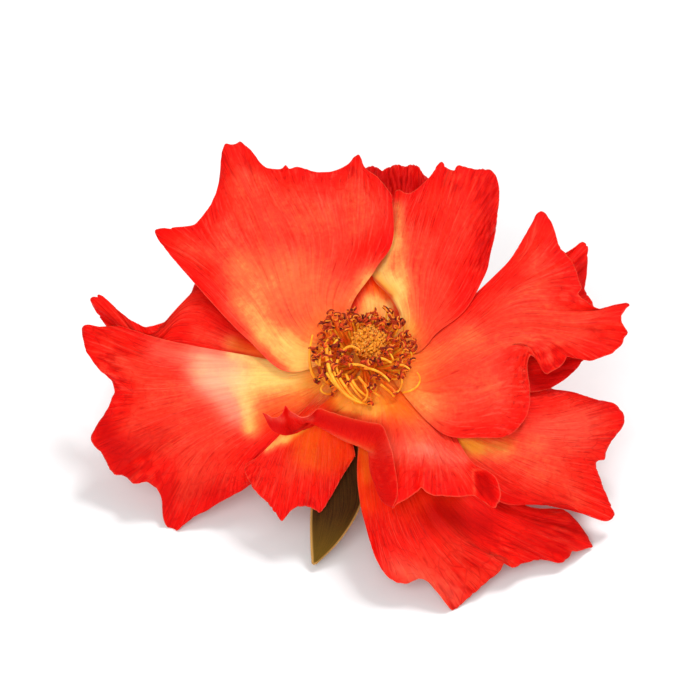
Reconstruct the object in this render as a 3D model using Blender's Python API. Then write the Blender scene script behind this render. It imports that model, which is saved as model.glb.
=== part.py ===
"""Floribunda rose flower, as picked: petals, stamens, styles, hip, sepals and cut stem."""
import math
import random

import bmesh
import bpy
import numpy as np
from mathutils import Vector

# Drawing grid the petals are laid out on: x to the right, y down
GRID = 0.000161
GRID_X = 364.0
GRID_Y = 362.0
MM = 0.001

# Pose: height of the petal ring, lean of the flower and tilt of the drawing
HEIGHT = 0.021
LEAN = math.radians(17.0)
DRAWN_FROM = math.radians(40.0)
PLANE_SLOPE = 0.65
SHIFT = Vector((0.0015, -0.0015, 0.0))

# Petal blades
THICK = 0.0006
ACROSS = 22
ALONG = 7

# Rings the petals grow from: radius and height on the hip
INNER_RING = (0.0033, 0.0007)
OUTER_RING = (0.0045, -0.0004)
CLAW_WIDTHS = {INNER_RING: math.radians(21.0), OUTER_RING: math.radians(16.0)}

# Stamens, styles, sepals and stem
STAMEN_COUNT = 38
STYLE_COUNT = 13
SEPAL_THICK = 0.0007
STEM_RADIUS = 0.0014

# Each petal: ring, angle on the ring, then rows of points from the claw out to the edge.
# A point is x and y on the grid and the lift off the open flower's plane in millimetres.
PETALS = {
    "petal_top_left": (INNER_RING, 124, [
        [(350, 318, 2.5), (330, 318, 3.0), (310, 340, 3.0), (303, 371, 2.7)],
        [(376, 268, 5.0), (350, 240, 5.5), (310, 235, 5.0), (262, 262, 4.5), (246, 338, 3.6)],
        [(394, 235, 6.0), (380, 200, 6.5), (340, 185, 6.0), (290, 185, 5.5), (240, 200, 5.0),
         (205, 240, 4.0), (198, 288, 3.5)],
        [(393, 194, 6.0), (378, 174, 6.0), (365, 163, 5.5), (359, 149, 5.0), (342, 164, 5.0),
         (325, 167, 5.0), (305, 166, 4.5), (284, 164, 4.5), (264, 163, 4.5), (252, 151, 4.0),
         (237, 137, 3.5), (223, 140, 3.5), (215, 181, 4.0), (211, 195, 4.0), (196, 220, 3.5),
         (175, 224, 3.0), (153, 228, 2.5), (156, 238, 2.5), (182, 270, 3.0)]]),
    "petal_top_right": (INNER_RING, 60, [
        [(418, 352, 3.6), (416, 332, 3.6), (400, 325, 3.0)],
        [(462, 314, 4.2), (445, 285, 5.0), (410, 270, 4.5), (374, 279, 2.5)],
        [(485, 277, 4.0), (465, 240, 5.0), (425, 230, 5.0), (395, 235, 3.5), (378, 250, 2.5)],
        [(493, 249, 4.0), (497, 230, 4.0), (501, 209, 4.0), (502, 187, 4.0), (497, 172, 4.0),
         (492, 166, 4.0), (472, 167, 4.5), (462, 162, 4.5), (458, 166, 4.5), (450, 165, 4.0),
         (444, 159, 4.0), (439, 163, 4.0), (432, 172, 4.5), (420, 184, 4.5), (409, 193, 4.0),
         (400, 188, 3.5), (396, 195, 3.5), (390, 199, 3.0), (382, 215, 2.5)]]),
    "petal_right": (INNER_RING, 8, [
        [(403, 394, 2.8), (415, 375, 2.6), (420, 357, 1.6)],
        [(441, 432, 4.8), (455, 405, 4.7), (462, 370, 4.5), (466, 340, 4.0), (462, 322, 2.4)],
        [(475, 437, 4.4), (500, 415, 4.3), (512, 375, 4.5), (520, 335, 5.0), (518, 300, 4.5),
         (500, 274, 3.0)],
        [(498, 436, 3.2), (519, 424, 2.8), (527, 410, 2.5), (528, 394, 3.0), (527, 386, 3.0),
         (526, 360, 3.5), (531, 355, 4.0), (538, 363, 3.5), (545, 373, 3.0), (560, 364, 3.0),
         (566, 354, 2.5), (577, 359, 2.5), (587, 360, 2.0), (599, 357, 2.0), (614, 351, 1.5),
         (625, 339, 1.5), (626, 331, 1.5), (620, 323, 2.0), (626, 309, 1.5), (629, 305, 1.0),
         (615, 307, 2.0), (603, 309, 2.5), (589, 304, 3.0), (577, 294, 3.5), (584, 288, 3.0),
         (582, 281, 3.0), (576, 263, 3.0), (569, 252, 3.0), (560, 240, 3.0), (553, 218, 2.5),
         (546, 210, 2.5), (540, 214, 2.5), (530, 232, 3.0), (520, 251, 3.0)]]),
    "petal_front": (INNER_RING, -83, [
        [(341, 388, 2.0), (347, 391, 2.0), (352, 394, 2.0), (358, 396, 2.0), (362, 398, 2.0),
         (367, 400, 1.9), (372, 401, 2.0), (377, 402, 2.0), (381, 402, 2.0), (386, 402, 2.0),
         (391, 402, 2.0), (396, 402, 1.8), (401, 402, 1.6), (404, 401, 1.4), (408, 400, 1.2),
         (411, 399, 1.0)],
        [(278, 424, 2.5), (292, 427, 2.7), (308, 425, 2.7), (330, 433, 2.8), (352, 440, 3.0),
         (368, 443, 3.0), (374, 455, 3.0), (376, 480, 3.2), (386, 494, 3.4), (404, 466, 4.6),
         (424, 458, 4.6), (438, 457, 4.2), (448, 458, 3.8), (458, 459, 3.6), (466, 459, 4.0),
         (470, 457, 4.6)],
        [(263, 413, 4.6), (276, 419, 5.0), (287, 406, 6.0), (318, 410, 7.0), (350, 416, 7.2),
         (382, 427, 7.0), (392, 452, 7.0), (392, 478, 6.6), (391, 503, 4.8), (400, 497, 4.4),
         (419, 482, 5.0), (448, 491, 4.4), (470, 489, 4.4), (489, 497, 5.4), (495, 482, 7.4),
         (484, 466, 8.4)]]),
    "petal_right_low": (OUTER_RING, -27, [
        [(412, 405, 0.2), (424, 398, 0.4), (430, 388, -0.1)],
        [(447, 452, -0.6), (465, 435, 0.0), (480, 415, -0.2), (485, 400, -1.0)],
        [(495, 498, -3.0), (520, 470, -2.5), (540, 440, -2.0), (545, 415, -2.5), (528, 394, -1.5)],
        [(555, 497, -7.0), (565, 504, -8.0), (585, 513, -10.5), (606, 519, -13.0),
         (611, 515, -13.5), (606, 497, -12.0), (599, 481, -10.5), (596, 461, -9.0),
         (605, 460, -9.5), (611, 442, -9.0), (622, 426, -9.5), (623, 418, -9.5),
         (611, 406, -8.0), (590, 400, -6.0), (570, 391, -4.5), (550, 390, -3.0),
         (544, 389, -2.5)]]),
    "petal_bottom": (OUTER_RING, -68, [
        [(362, 415, 0.0), (378, 418, 0.3), (395, 415, 0.1)],
        [(357, 462, -1.0), (385, 470, 0.0), (415, 462, 0.0), (438, 448, -2.4)],
        [(360, 500, -2.5), (390, 530, -2.5), (430, 530, -2.0), (475, 515, -3.0), (515, 500, -6.0)],
        [(365, 520, -3.5), (372, 545, -4.5), (383, 568, -6.0), (402, 577, -7.0), (415, 573, -7.0),
         (427, 575, -7.5), (445, 596, -10.0), (453, 602, -11.2), (475, 584, -10.0),
         (496, 568, -9.5), (501, 557, -9.0), (510, 562, -10.0), (532, 556, -10.5),
         (562, 557, -13.0), (572, 546, -13.5), (589, 544, -15.5), (580, 525, -13.0),
         (560, 510, -11.0)]]),
    "petal_low_left": (INNER_RING, -136, [
        [(326, 386, 0.6), (332, 395, 0.5), (342, 401, 0.2)],
        [(269, 446, -0.9), (287, 434, -0.4), (303, 426, -0.1), (328, 430, -0.3), (354, 447, -0.9)],
        [(247, 463, -2.5), (248, 472, -3.0), (259, 491, -5.0), (272, 503, -6.5), (283, 516, -7.5),
         (297, 504, -6.5), (311, 504, -6.5), (320, 509, -7.0), (326, 501, -6.0),
         (339, 479, -4.0), (353, 455, -2.0)]]),
    "petal_left": (OUTER_RING, 203, [
        [(305, 372, 1.0), (305, 388, 0.2), (318, 404, -1.0)],
        [(245, 357, 0.5), (240, 385, -0.1), (245, 415, -1.4), (272, 444, -3.6)],
        [(165, 340, -1.0), (150, 375, -3.0), (160, 415, -5.0), (190, 455, -7.5), (252, 472, -8.2)],
        [(118, 326, -3.5), (98, 327, -4.5), (80, 328, -6.0), (83, 344, -6.0), (91, 359, -6.5),
         (104, 376, -7.0), (114, 384, -7.0), (115, 396, -7.5), (108, 401, -8.0),
         (104, 415, -9.0), (92, 434, -11.0), (95, 442, -11.5), (108, 457, -11.5),
         (114, 472, -12.0), (126, 477, -12.0), (131, 483, -12.0), (144, 482, -12.0),
         (156, 486, -12.5), (163, 497, -13.5), (164, 518, -16.6), (173, 529, -18.8),
         (184, 526, -16.5), (202, 514, -14.5), (224, 499, -12.5), (244, 487, -11.5), (258, 479, -10.6)]]),
    "petal_left_back": (OUTER_RING, 163, [
        [(322, 332, 0.0), (312, 345, 0.2), (308, 360, -0.5)],
        [(262, 290, 0.5), (240, 315, 0.5), (240, 340, -0.3), (250, 362, -1.4)],
        [(215, 262, 0.5), (196, 285, 0.3), (180, 315, -0.4), (170, 335, -2.4), (172, 350, -3.4)],
        [(205, 255, 0.0), (193, 282, -0.5), (187, 300, -0.8), (178, 313, -1.0), (167, 320, -1.5),
         (144, 326, -2.8), (125, 319, -3.2), (109, 312, -3.4), (97, 297, -3.5), (88, 300, -3.8),
         (95, 317, -5.4), (110, 335, -6.2), (130, 350, -6.2)]]),
    "petal_top_back": (OUTER_RING, 82, [
        [(388, 322, -0.2), (370, 316, 0.0), (352, 320, -0.2)],
        [(425, 270, 0.6), (395, 260, 1.0), (360, 260, 1.2), (325, 275, 1.0)],
        [(440, 215, 1.0), (405, 205, 1.4), (365, 205, 1.8), (325, 215, 1.6)],
        [(432, 178, 1.2), (427, 173, 1.2), (420, 161, 1.4), (413, 162, 1.6), (403, 160, 1.9),
         (395, 162, 1.6), (384, 166, 1.8), (376, 161, 1.5), (368, 162, 1.5), (355, 175, 1.4),
         (338, 182, 1.4)]]),
    "petal_right_back": (OUTER_RING, 17, [
        [(415, 372, 0.2), (422, 358, 0.2), (418, 342, -0.3)],
        [(472, 392, 1.0), (480, 365, 0.8), (475, 330, 0.6), (460, 308, 0.2)],
        [(530, 392, -0.2), (545, 360, 0.0), (545, 310, 0.2), (530, 270, 0.2)],
        [(551, 387, -1.0), (570, 376, -1.5), (584, 362, -2.0), (600, 345, -2.0), (604, 325, -2.0),
         (598, 305, -1.5), (588, 289, -1.0), (594, 258, -1.0), (591, 243, -1.0),
         (588, 241, -0.8), (570, 251, -0.2), (555, 255, 0.0)]]),
}

# The seen sepal, drawn like the petals
SEEN_SEPAL = [
    [(338, 405, -2.9), (350, 408, -2.5), (362, 408, -2.9)],
    [(318, 452, -4.8), (338, 458, -4.2), (360, 460, -4.8)],
    [(311, 508, -9.0), (335, 512, -8.4), (361, 504, -8.6)],
    [(311, 540, -11.4), (325, 541, -11.0), (340, 538, -11.2)],
    [(312, 561, -13.2), (314, 562, -13.1), (317, 561, -13.2)],
]

# The four hidden sepals: angle, length factor, sideways drift
HIDDEN_SEPALS = {
    "sepal_right": (-32, 0.96, 0.0012),
    "sepal_back_right": (40, 1.0, -0.0015),
    "sepal_back_left": (112, 1.05, 0.001),
    "sepal_left": (184, 0.94, -0.0008),
}
# Stations of a hidden sepal: distance out, height and half width
SEPAL_LINE = [
    (0.0043, -0.0026, 0.0021), (0.0072, -0.0040, 0.0034), (0.0110, -0.0066, 0.0041),
    (0.0145, -0.0105, 0.0034), (0.0168, -0.0145, 0.0020), (0.0180, -0.0175, 0.0007),
]

# Hip outline from the middle of its top to the stem: radius and height
HIP_OUTLINE = [
    (0.0, 0.0010), (0.0013, 0.0009), (0.0027, 0.0004), (0.0049, -0.00115), (0.0051, -0.0015),
    (0.0044, -0.0019), (0.0034, -0.0025), (0.0038, -0.0040), (0.0041, -0.0057),
    (0.0036, -0.0079), (0.0025, -0.0098), (0.0017, -0.0108), (0.0, -0.0108),
]

# Stem path from the hip to the cut end
STEM_PATH = [
    (0.0, 0.00325, 0.01040), (0.0001, 0.0042, 0.0075), (0.0004, 0.0061, 0.0049),
    (0.0008, 0.0090, 0.0029), (0.0013, 0.0130, 0.0018), (0.0018, 0.0176, 0.00143),
    (0.0024, 0.0225, 0.0014), (0.0030, 0.0270, 0.0014),
]

COLOURS = {
    "petal": (0.90, 0.09, 0.035),
    "stamen": (0.75, 0.30, 0.04),
    "style": (0.72, 0.42, 0.07),
    "sepal": (0.16, 0.18, 0.06),
    "hip": (0.12, 0.20, 0.05),
    "stem": (0.22, 0.30, 0.07),
}

RIGHT = Vector((1.0, 0.0, 0.0))
UP = Vector((0.0, math.sin(DRAWN_FROM), math.cos(DRAWN_FROM)))
NEAR = Vector((0.0, -math.cos(DRAWN_FROM), math.sin(DRAWN_FROM)))
AXIS = Vector((0.0, -math.sin(LEAN), math.cos(LEAN)))
OUTWARD = Vector((0.0, math.cos(LEAN), math.sin(LEAN)))
CENTRE = Vector((0.0, 0.0, HEIGHT)) + SHIFT


def drawn(x, y, lift):
    """Point in space for a point of the drawing."""
    across = (x - GRID_X) * GRID
    up = (GRID_Y - y) * GRID
    near = lift * MM - PLANE_SLOPE * up
    return CENTRE + RIGHT * across + UP * up + NEAR * near


def around(angle, radius, height):
    """Point in space at an angle, radius and height about the flower's axis."""
    ring = RIGHT * math.cos(angle) + OUTWARD * math.sin(angle)
    return CENTRE + ring * radius + AXIS * height


def marks_along(points):
    """Share of the way along a row at each of its points."""
    steps = np.linalg.norm(np.diff(points, axis=0), axis=1)
    total = np.concatenate(([0.0], np.cumsum(steps)))
    return total / total[-1]


def smooth_through(points, marks, places):
    """Smooth curve through points, read at the given places from 0 to 1."""
    points = np.asarray(points, dtype=float)
    marks = np.asarray(marks, dtype=float)
    slopes = np.gradient(points, marks, axis=0)
    index = np.clip(np.searchsorted(marks, places, side="right") - 1, 0, len(marks) - 2)
    width = marks[index + 1] - marks[index]
    t = (places - marks[index]) / width
    shape = (-1,) + (1,) * (points.ndim - 1)
    t = t.reshape(shape)
    width = width.reshape(shape)
    start = points[index] * (2 * t**3 - 3 * t**2 + 1) + slopes[index] * width * (t**3 - 2 * t**2 + t)
    end = points[index + 1] * (3 * t**2 - 2 * t**3) + slopes[index + 1] * width * (t**3 - t**2)
    return start + end


def sheet(rows, along, across):
    """Grid of points through rows, along from claw to edge and across from side to side."""
    places = np.linspace(0.0, 1.0, across + 1)
    edge_marks = marks_along(rows[-1])
    lines = []
    for row in rows:
        marks = edge_marks if len(row) == len(rows[-1]) else marks_along(row)
        lines.append(smooth_through(row, marks, places))
    lines = np.array(lines)
    steps = np.linalg.norm(np.diff(lines, axis=0), axis=2).mean(axis=1)
    stations = np.concatenate(([0.0], np.cumsum(steps))) / steps.sum()
    return smooth_through(lines, stations, np.linspace(0.0, 1.0, along + 1))


def sheet_normals(points):
    """Unit normals of a grid of points."""
    along = np.gradient(points, axis=0)
    across = np.gradient(points, axis=1)
    normals = np.cross(across, along)
    return normals / np.linalg.norm(normals, axis=2, keepdims=True)


def blade(name, points, thick, colour):
    """Closed thin solid about a grid of points, split alike on both faces."""
    low = thick / 2 + 0.00001
    points = points.copy()
    points[:, :, 2] = np.maximum(points[:, :, 2], low)
    offset = sheet_normals(points) * thick / 2
    rows, columns = points.shape[:2]
    mesh = bmesh.new()
    top = [[mesh.verts.new(p) for p in line] for line in points + offset]
    under = [[mesh.verts.new(p) for p in line] for line in points - offset]
    for i in range(rows - 1):
        for j in range(columns - 1):
            corners = ((i, j), (i, j + 1), (i + 1, j + 1), (i + 1, j))
            for three in ((0, 1, 2), (0, 2, 3)):
                pick = [corners[k] for k in three]
                mesh.faces.new([top[a][b] for a, b in pick])
                mesh.faces.new([under[a][b] for a, b in reversed(pick)])
    border = [(0, j) for j in range(columns)] + [(i, columns - 1) for i in range(1, rows)]
    border += [(rows - 1, j) for j in range(columns - 2, -1, -1)] + [(i, 0) for i in range(rows - 2, 0, -1)]
    for here, after in zip(border, border[1:] + border[:1]):
        one, two = top[here[0]][here[1]], top[after[0]][after[1]]
        three, four = under[after[0]][after[1]], under[here[0]][here[1]]
        mesh.faces.new((two, one, four))
        mesh.faces.new((two, four, three))
    return finish(name, mesh, colour)


def finish(name, mesh, colour):
    """Make an object of a mesh, faces out, with a material of its own."""
    bmesh.ops.recalc_face_normals(mesh, faces=mesh.faces)
    for face in mesh.faces:
        face.smooth = True
    data = bpy.data.meshes.new(name)
    mesh.to_mesh(data)
    mesh.free()
    thing = bpy.data.objects.new(name, data)
    bpy.context.collection.objects.link(thing)
    material = bpy.data.materials.new(name + "_colour")
    material.use_nodes = True
    shader = material.node_tree.nodes["Principled BSDF"]
    shader.inputs["Base Color"].default_value = (*COLOURS[colour], 1.0)
    shader.inputs["Roughness"].default_value = 0.6
    data.materials.append(material)
    return thing


def petal(name, ring, degrees, rows):
    """One petal from its claw on the hip to its edge."""
    middle = math.radians(degrees)
    half = CLAW_WIDTHS[ring]
    turns = (middle - half, middle, middle + half)
    claw = np.array([around(turn, *ring) for turn in turns])
    placed = [np.array([drawn(*point) for point in row]) for row in rows]
    return blade(name, sheet([claw] + placed, ALONG, ACROSS), THICK, "petal")


def seen_sepal():
    """The sepal that shows between two petals."""
    middle = math.radians(-104)
    claw = np.array([around(middle + turn, 0.0043, -0.0026) for turn in (-0.5, 0.0, 0.5)])
    placed = [np.array([drawn(*point) for point in row]) for row in SEEN_SEPAL]
    return blade("sepal_front", sheet([claw] + placed, 9, 4), SEPAL_THICK, "sepal")


def hidden_sepal(name, degrees, length, drift):
    """A sepal folded back under the petals."""
    middle = math.radians(degrees)
    side = OUTWARD * math.cos(middle) - RIGHT * math.sin(middle)
    rows = []
    for step, (out, height, half) in enumerate(SEPAL_LINE):
        share = step / (len(SEPAL_LINE) - 1)
        reach = 0.0043 + (out - 0.0043) * length
        drop = -0.0026 + (height + 0.0026) * length
        spine = around(middle, reach, drop) + side * drift * share**2
        raised = AXIS * 0.0006 * (1 - share)
        rows.append(np.array([spine - side * half + raised, spine, spine + side * half + raised]))
    return blade(name, sheet(rows, 8, 4), SEPAL_THICK, "sepal")


def turned(name, outline, sides, colour):
    """Round solid about the flower's axis."""
    mesh = bmesh.new()
    rings = []
    for radius, height in outline:
        if radius == 0.0:
            rings.append([mesh.verts.new(around(0.0, 0.0, height))])
        else:
            turns = [2 * math.pi * k / sides for k in range(sides)]
            rings.append([mesh.verts.new(around(turn, radius, height)) for turn in turns])
    for one, two in zip(rings, rings[1:]):
        for k in range(sides):
            n = (k + 1) % sides
            if len(one) == 1:
                mesh.faces.new((one[0], two[k], two[n]))
            elif len(two) == 1:
                mesh.faces.new((one[k], two[0], one[n]))
            else:
                mesh.faces.new((one[k], two[k], two[n]))
                mesh.faces.new((one[k], two[n], one[n]))
    return finish(name, mesh, colour)


def tube(mesh, path, radii, sides):
    """Closed round bar along a path, added to a mesh."""
    path = [Vector(point) for point in path]
    rings = []
    for k, point in enumerate(path):
        heading = (path[min(k + 1, len(path) - 1)] - path[max(k - 1, 0)]).normalized()
        helper = RIGHT if abs(heading.dot(RIGHT)) < 0.8 else AXIS
        one = heading.cross(helper).normalized()
        two = heading.cross(one)
        turns = [2 * math.pi * n / sides for n in range(sides)]
        rings.append([
            mesh.verts.new(point + (one * math.cos(turn) + two * math.sin(turn)) * radii[k])
            for turn in turns])
    for lower, upper in zip(rings, rings[1:]):
        for k in range(sides):
            n = (k + 1) % sides
            mesh.faces.new((lower[k], lower[n], upper[n]))
            mesh.faces.new((lower[k], upper[n], upper[k]))
    mesh.faces.new(list(reversed(rings[0])))
    mesh.faces.new(rings[-1])


def fuse(base, extras):
    """Join many closed pieces to the base as one body."""
    group = bpy.data.collections.new("extras")
    bpy.context.scene.collection.children.link(group)
    for extra in extras:
        bpy.context.collection.objects.unlink(extra)
        group.objects.link(extra)
    joiner = base.modifiers.new("join", "BOOLEAN")
    joiner.operation = "UNION"
    joiner.operand_type = "COLLECTION"
    joiner.collection = group
    joiner.solver = "MANIFOLD"
    bpy.context.view_layer.update()
    graph = bpy.context.evaluated_depsgraph_get()
    joined = bpy.data.meshes.new_from_object(base.evaluated_get(graph))
    base.modifiers.clear()
    base.data = joined
    for extra in list(group.objects):
        bpy.data.objects.remove(extra)
    bpy.data.collections.remove(group)
    return base


def stamens():
    """Ring of filaments with their anthers, fused to a low collar."""
    rng = random.Random(7)
    outline = [(0.0016, 0.0014), (0.0020, 0.0010), (0.0024, 0.0014), (0.0020, 0.0019)]
    collar = ring_solid("stamens", outline, 20, "stamen")
    extras = []
    for k in range(STAMEN_COUNT):
        turn = 2 * math.pi * (k + rng.uniform(-0.25, 0.25)) / STAMEN_COUNT
        reach = (0.0080, 0.0062, 0.0070, 0.0053)[k % 4] + rng.uniform(-0.0004, 0.0006)
        rise = (0.0052, 0.0062, 0.0056, 0.0066)[k % 4] + rng.uniform(-0.0004, 0.0004)
        sway = rng.uniform(-0.06, 0.06)
        front = max(0.0, -math.sin(turn))
        back = max(0.0, math.sin(turn))
        reach = reach * (1.0 + 0.12 * front - 0.18 * back)
        rise = rise - 0.0020 * front
        root = around(turn, 0.0020, 0.0014)
        bend = around(turn + sway, 0.0024 + 0.35 * (reach - 0.0024), 0.0014 + 0.62 * (rise - 0.0014))
        tip = around(turn + sway * 1.5, reach, rise)
        heading = (tip - bend).normalized()
        path = [root, bend, tip, tip + heading * 0.0004, tip + heading * 0.0011, tip + heading * 0.0016]
        radii = [0.00026, 0.00022, 0.00022, 0.0006, 0.0006, 0.00028]
        mesh = bmesh.new()
        tube(mesh, path, radii, 4)
        extras.append(finish("stamen_%d" % k, mesh, "stamen"))
    return fuse(collar, extras)


def ring_solid(name, outline, sides, colour):
    """Ring about the flower's axis with a closed outline."""
    mesh = bmesh.new()
    turns = [2 * math.pi * k / sides for k in range(sides)]
    rings = [[mesh.verts.new(around(turn, *point)) for turn in turns] for point in outline]
    for k in range(len(rings)):
        one = rings[k]
        two = rings[(k + 1) % len(rings)]
        for a in range(sides):
            b = (a + 1) % sides
            mesh.faces.new((one[a], two[a], two[b]))
            mesh.faces.new((one[a], two[b], one[b]))
    return finish(name, mesh, colour)


def styles():
    """Tight bundle of styles on a small disc."""
    rng = random.Random(3)
    disc = turned("styles", [(0.0, 0.0020), (0.0011, 0.0018), (0.0012, 0.0013), (0.0, 0.0013)], 12, "style")
    extras = []
    for k in range(STYLE_COUNT):
        turn = 2.4 * k
        spread = 0.00062 * math.sqrt(k + 0.3)
        rise = 0.0052 - 0.0013 * spread / 0.0026 + rng.uniform(-0.0003, 0.0003)
        root = around(turn, spread * 0.32, 0.0016)
        bend = around(turn, spread * 0.6, 0.0032)
        tip = around(turn, spread, rise)
        heading = (tip - bend).normalized()
        path = [root, bend, tip, tip + heading * 0.0003, tip + heading * 0.0007]
        mesh = bmesh.new()
        tube(mesh, path, [0.00024, 0.00022, 0.00024, 0.00046, 0.0003], 5)
        extras.append(finish("style_%d" % k, mesh, "style"))
    return fuse(disc, extras)


def stem():
    """Cut stem that curves back to the floor."""
    points = np.array(STEM_PATH)
    path = smooth_through(points, marks_along(points), np.linspace(0.0, 1.0, 13))
    path = [Vector(point) + SHIFT for point in path]
    mesh = bmesh.new()
    tube(mesh, path, [STEM_RADIUS] * len(path), 12)
    return finish("stem", mesh, "stem")


def build():
    """Make every piece of the flower."""
    for thing in list(bpy.data.objects):
        bpy.data.objects.remove(thing)
    for name, (ring, degrees, rows) in PETALS.items():
        petal(name, ring, degrees, rows)
    seen_sepal()
    for name, (degrees, length, drift) in HIDDEN_SEPALS.items():
        hidden_sepal(name, degrees, length, drift)
    turned("hip", HIP_OUTLINE, 20, "hip")
    stamens()
    styles()
    stem()


build()
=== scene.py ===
import math
import random
from functools import partial

import bmesh
import bpy
import numpy as np
from mathutils import Matrix, Vector, noise


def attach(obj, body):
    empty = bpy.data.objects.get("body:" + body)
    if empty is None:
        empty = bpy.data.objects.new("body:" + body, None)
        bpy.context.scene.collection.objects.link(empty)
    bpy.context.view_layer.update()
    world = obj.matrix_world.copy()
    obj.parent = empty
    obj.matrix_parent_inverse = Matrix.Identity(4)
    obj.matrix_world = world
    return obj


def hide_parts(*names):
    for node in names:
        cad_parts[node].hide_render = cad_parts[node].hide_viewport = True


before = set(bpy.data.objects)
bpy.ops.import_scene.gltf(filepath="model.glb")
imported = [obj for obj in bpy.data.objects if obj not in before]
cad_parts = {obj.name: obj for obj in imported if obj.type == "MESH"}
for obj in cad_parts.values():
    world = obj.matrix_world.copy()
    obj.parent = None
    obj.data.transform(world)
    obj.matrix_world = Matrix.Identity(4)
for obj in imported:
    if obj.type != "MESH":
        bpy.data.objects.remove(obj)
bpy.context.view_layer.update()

# Petals
# Eleven thin soft blades of a semi-double rose, each on a narrow claw at the top of the hip.
# Living tissue about 0.3 mm thick, velvety red-orange, yellow at the claw and duller beneath, the under face
# also darkened as painted shade.
# Each grows as one sheet: rows of points from the claw to the cut edge, then folds and ruffles.

# the layout grid, as the camera sees it: a step in metres, and the flower's centre on it
GRID = 0.000161
GRID_X = 364.0
GRID_Y = 362.0
MM = 0.001
HEIGHT = 0.021
LEAN = math.radians(17.0)
DRAWN_FROM = math.radians(40.0)
PLANE_SLOPE = 0.65
RIGHT = Vector((1.0, 0.0, 0.0))
UP = Vector((0.0, math.sin(DRAWN_FROM), math.cos(DRAWN_FROM)))
NEAR = Vector((0.0, -math.cos(DRAWN_FROM), math.sin(DRAWN_FROM)))
AXIS = Vector((0.0, -math.sin(LEAN), math.cos(LEAN)))
OUTWARD = Vector((0.0, math.cos(LEAN), math.sin(LEAN)))
CENTRE = Vector((0.0015, -0.0015, HEIGHT))
# rings of claws on the hip: radius and height
INNER_RING = (0.0033, 0.0007)
OUTER_RING = (0.0045, -0.0004)
CLAW_WIDTHS = {INNER_RING: math.radians(27.0), OUTER_RING: math.radians(25.0)}
PETAL_THICKNESS = 0.00028
ACROSS = 176
ALONG = 80
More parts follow.
